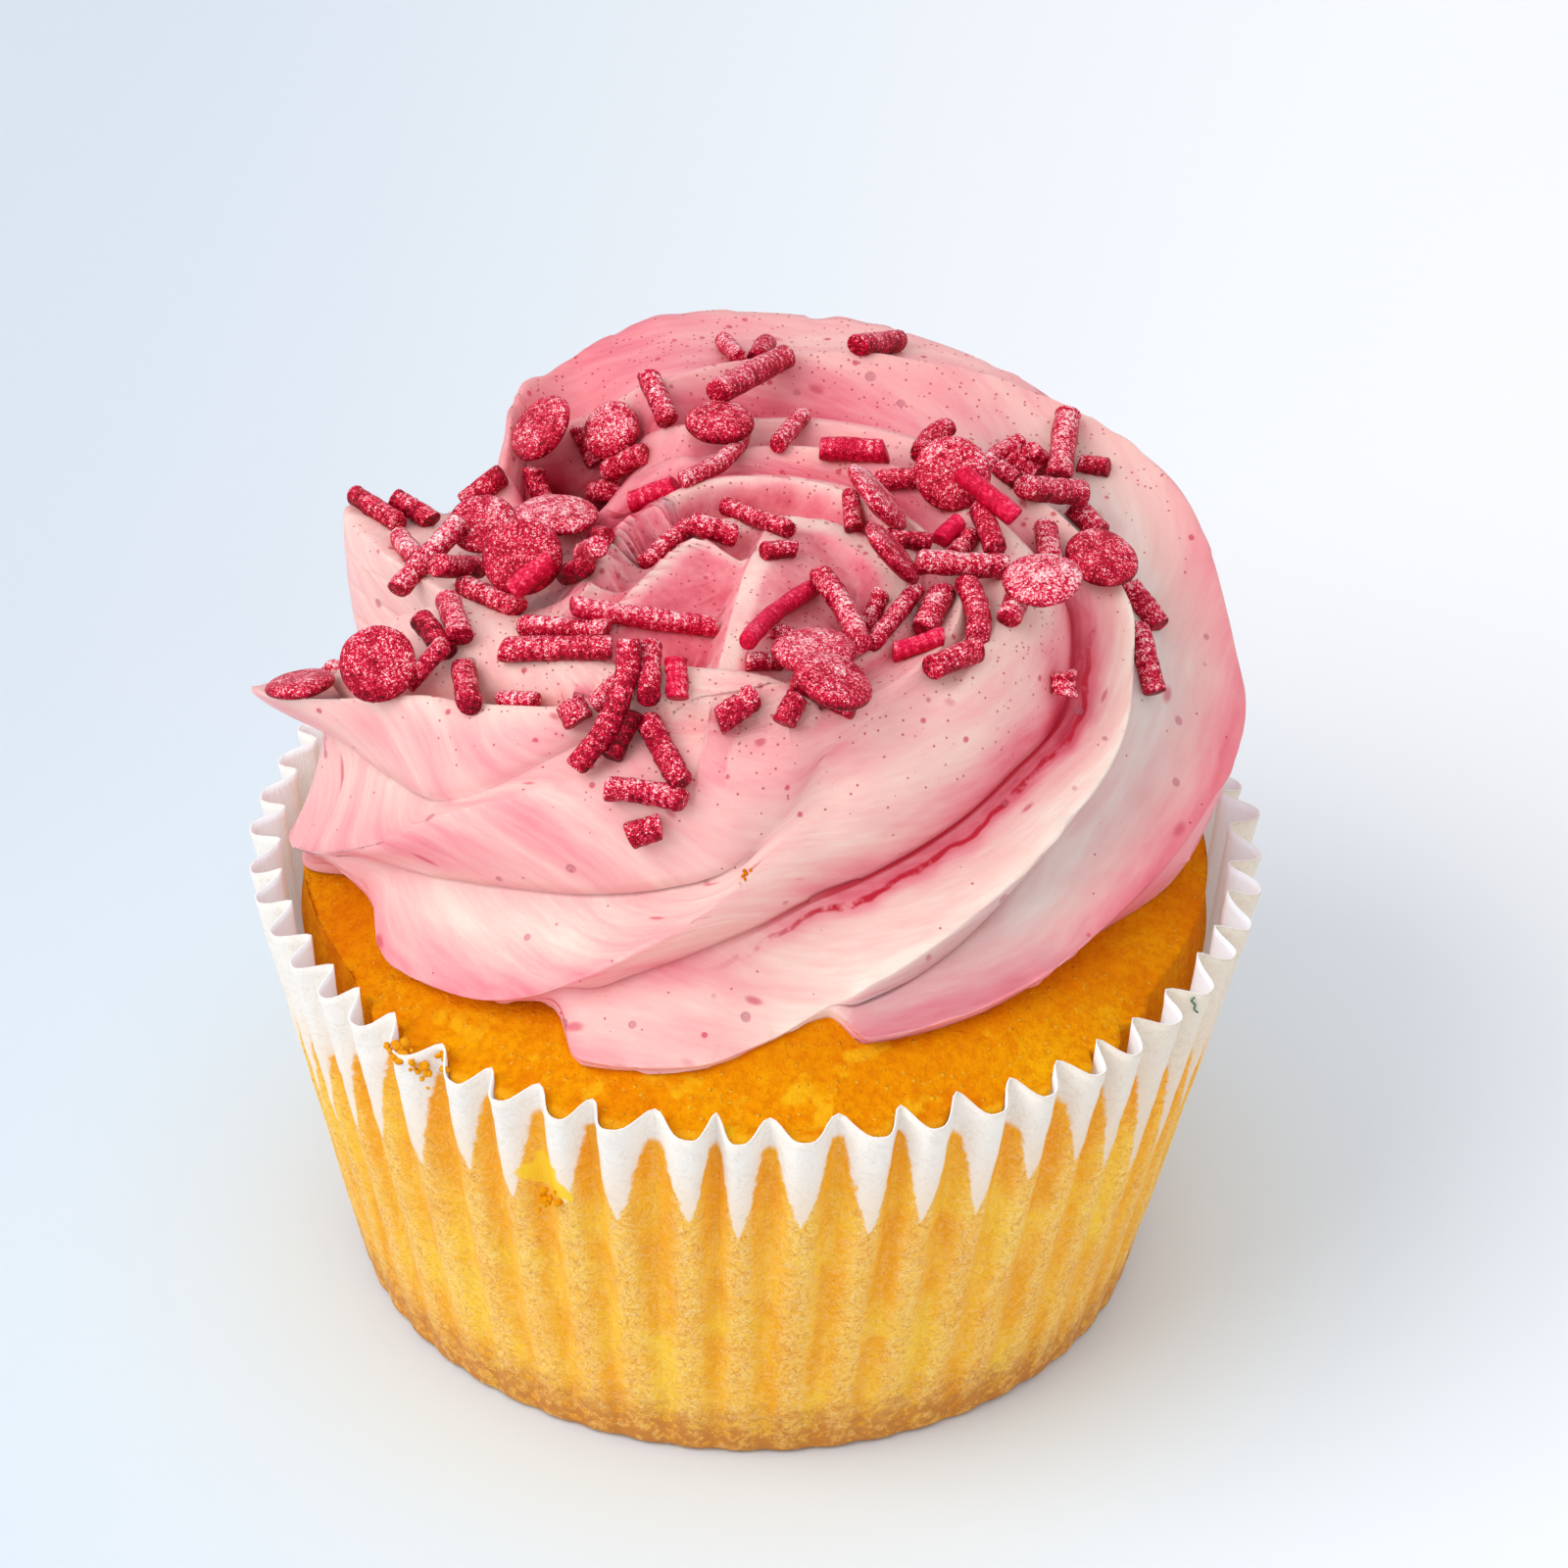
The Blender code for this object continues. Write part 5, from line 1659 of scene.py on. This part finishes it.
def makePearlSugar():
    # crimson sugar brushed with pale pearl dust: tone runs from dark through crimson to pearl, lighter
    # on sides that face up as painted light, with clusters of dust, single grains that are partly
    # painted glints, and the ribs as painted shade
    look = sugarLook
    made, tree, shader = newMaterial("crimson pearl sugar", Roughness=0.4, Specular_IOR_Level=0.12)
    where = inMillimetres(tree)
    bare = attributeOf(tree, "bare")
    blotch = noiseOf(tree, where, 0.9, 3.0, 0.6)
    cluster = noiseOf(tree, where, look["clusterScale"], 3.0, 0.7)
    # sides facing up are lighter: painted light
    up = axisOf(tree, addNode(tree, "ShaderNodeNewGeometry").outputs["Normal"], 2)
    up = calc(tree, "MAXIMUM", up, look["leastUp"])
    tone = plus(tree, look["level"], times(tree, up, look["paintedTopLight"]))
    for part, share in ((blotch, look["blotchShare"]), (cluster, look["clusterShare"]),
                        (attributeOf(tree, "pearl"), look["pearlShare"])):
        tone = plus(tree, tone, times(tree, minus(tree, part, 0.5), share))
    # rings along each rod: painted shade of the ribs
    rib = calc(tree, "SINE", times(tree, attributeOf(tree, "along"), look["ribTurn"]))
    tone = plus(tree, tone, times(tree, rib, look["ribShare"]))
    tone = minus(tree, tone, times(tree, attributeOf(tree, "dark"), look["darkShare"]))
    # single grains of pale pearl dust and finer glitter between them, their own pale colour with painted
    # glints, and dark pits
    gap, lot = cellsIn(tree, where, look["dustScale"])
    dust = times(tree, calc(tree, "LESS_THAN", lot, look["dustOften"]), fade(tree, gap, 0.6, 0.3))
    pit = times(tree, calc(tree, "GREATER_THAN", lot, look["pitOften"]), fade(tree, gap, 0.6, 0.35))
    gap, lot = cellsIn(tree, where, look["glitterScale"])
    glitter = times(tree, calc(tree, "LESS_THAN", lot, look["glitterOften"]), fade(tree, gap, 0.6, 0.3))
    dust = calc(tree, "MAXIMUM", dust, glitter)
    dust = times(tree, dust, minus(tree, look["dustShare"], times(tree, bare, look["bareDust"])))
    tone = plus(tree, tone, minus(tree, dust, times(tree, pit, look["pitShare"])))
    plain = paint(tree, look["bareDeep"], look["bareBright"], fade(tree, tone, 0.1, 0.7))
    colour = paint(tree, rampOf(tree, tone, look["tones"]), plain, bare, look["bareShare"])
    tree.links.new(colour, shader.inputs["Base Color"])
    tree.links.new(bumpOf(tree, cluster, *look["bump"]), shader.inputs["Normal"])
    return made


relief = makeRelief()
pearlSugar = makePearlSugar()
makeSprinkles()


# Heaps of crumbs: x, y and z of the middle, azimuth the surface under them faces, how far it leans
# up, how far they spread, how many, and their size
crumbs = {
    "heaps": (
        (-21.4, -23.6, 29.5, 245, 40, 0.7, 16, 0.5), (-20.0, -24.1, 28.4, 255, 10, 0.8, 14, 0.5),
        (-18.6, -24.3, 29.6, 240, 70, 0.9, 10, 0.4), (-12.2, -28.1, 22.2, 247, 5, 0.9, 14, 0.45),
        (-0.5, -20.15, 40.9, 270, 45, 0.6, 9, 0.22), (-2.2, -21.3, 39.7, 265, 35, 0.4, 5, 0.18),
    ),
    "around": 7,
    "rows": 4,
    "sizes": (0.5, 1.3),  # least and most, as a share
    "stretch": (0.7, 1.2),  # of each axis
    "lump": 0.25,
    "lumpSize": 0.8,
}
fibre = {
    "path": (
        (27.55, -15.55, 29.5), (27.35, -15.6, 29.25), (27.6, -15.6, 28.95), (27.55, -15.6, 28.65),
        (27.8, -15.55, 28.35),
    ),
    "thick": 0.13,
    "around": 8,
    "rows": 20,
    "dark": sRgb(44, 84, 66),
    "light": sRgb(96, 138, 112),
}


def makeCrumbs():
    # lumpy balls of few faces, strewn by bell curves over each heap's tangent plane
    chance = np.random.default_rng(61)
    rise = np.radians(180.0) * np.arange(1, crumbs["rows"] + 1) / (crumbs["rows"] + 1)
    around = np.radians(fullTurn) * np.arange(crumbs["around"]) / crumbs["around"]
    ring = np.stack([np.sin(rise)[:, None] * np.cos(around), np.sin(rise)[:, None] * np.sin(around),
                     np.cos(rise)[:, None] + 0 * around], axis=-1).reshape(-1, 3)
    form = np.concatenate([ring, [(0, 0, 1), (0, 0, -1)]])
    points, faces = [], []
    for x, y, z, azimuth, lean, spread, number, size in crumbs["heaps"]:
        flat, up = headingOf(lean)
        facing = np.array([*(headingOf(azimuth) * flat), up])
        level = np.array([*headingOf(azimuth + 90), 0.0])
        for index in range(number):
            shift = chance.normal(0, spread / 2, 2)
            spot = np.array([x, y, z]) + shift[0] * level + shift[1] * np.cross(facing, level)
            radius = size / 2 * chance.uniform(*crumbs["sizes"])
            grid = form * chance.uniform(*crumbs["stretch"], 3) * radius
            lump = softNoise(form + chance.uniform(0, 60, 3), crumbs["lumpSize"], 62)
            grid = grid * (1 + crumbs["lump"] * lump)[:, None]
            faces += closedFaces(crumbs["rows"], crumbs["around"], len(points) * len(form))
            points.append(grid + spot)
    piece = addPiece("sponge_crumbs", np.concatenate(points), faces)
    piece.data.materials.append(goldenCrumb)


def makeGreenThread():
    # dull green fibre with finer darker hairs along it
    made, tree, shader = newMaterial("green fibre", Roughness=0.8)
    hair = noiseOf(tree, inMillimetres(tree), 9.0, 2.0)
    colour = paint(tree, fibre["dark"], fibre["light"], fade(tree, hair, 0.35, 0.65))
    tree.links.new(colour, shader.inputs["Base Color"])
    return made


def makeFibre():
    # a circle carried along a short crooked path
    stations = np.array([(index, *row) for index, row in enumerate(fibre["path"])])
    line = curveThrough(stations, np.linspace(0, len(stations) - 1, fibre["rows"]))
    ahead = np.gradient(line, axis=0)
    ahead /= np.linalg.norm(ahead, axis=1, keepdims=True)
    side = np.cross(ahead, (0.0, 1.0, 0.0))
    side /= np.linalg.norm(side, axis=1, keepdims=True)
    up = np.cross(side, ahead)
    angle = np.radians(fullTurn) * np.arange(fibre["around"]) / fibre["around"]
    spoke = np.cos(angle)[:, None] * side[:, None] + np.sin(angle)[:, None] * up[:, None]
    grid = line[:, None] + fibre["thick"] / 2 * spoke
    points = np.concatenate([grid.reshape(-1, 3), line[:1], line[-1:]])
    piece = addPiece("green_fibre", points, closedFaces(len(line), fibre["around"], 0))
    piece.data.materials.append(makeGreenThread())


makeCrumbs()
makeFibre()
print("stage: crumbs and fibre made")
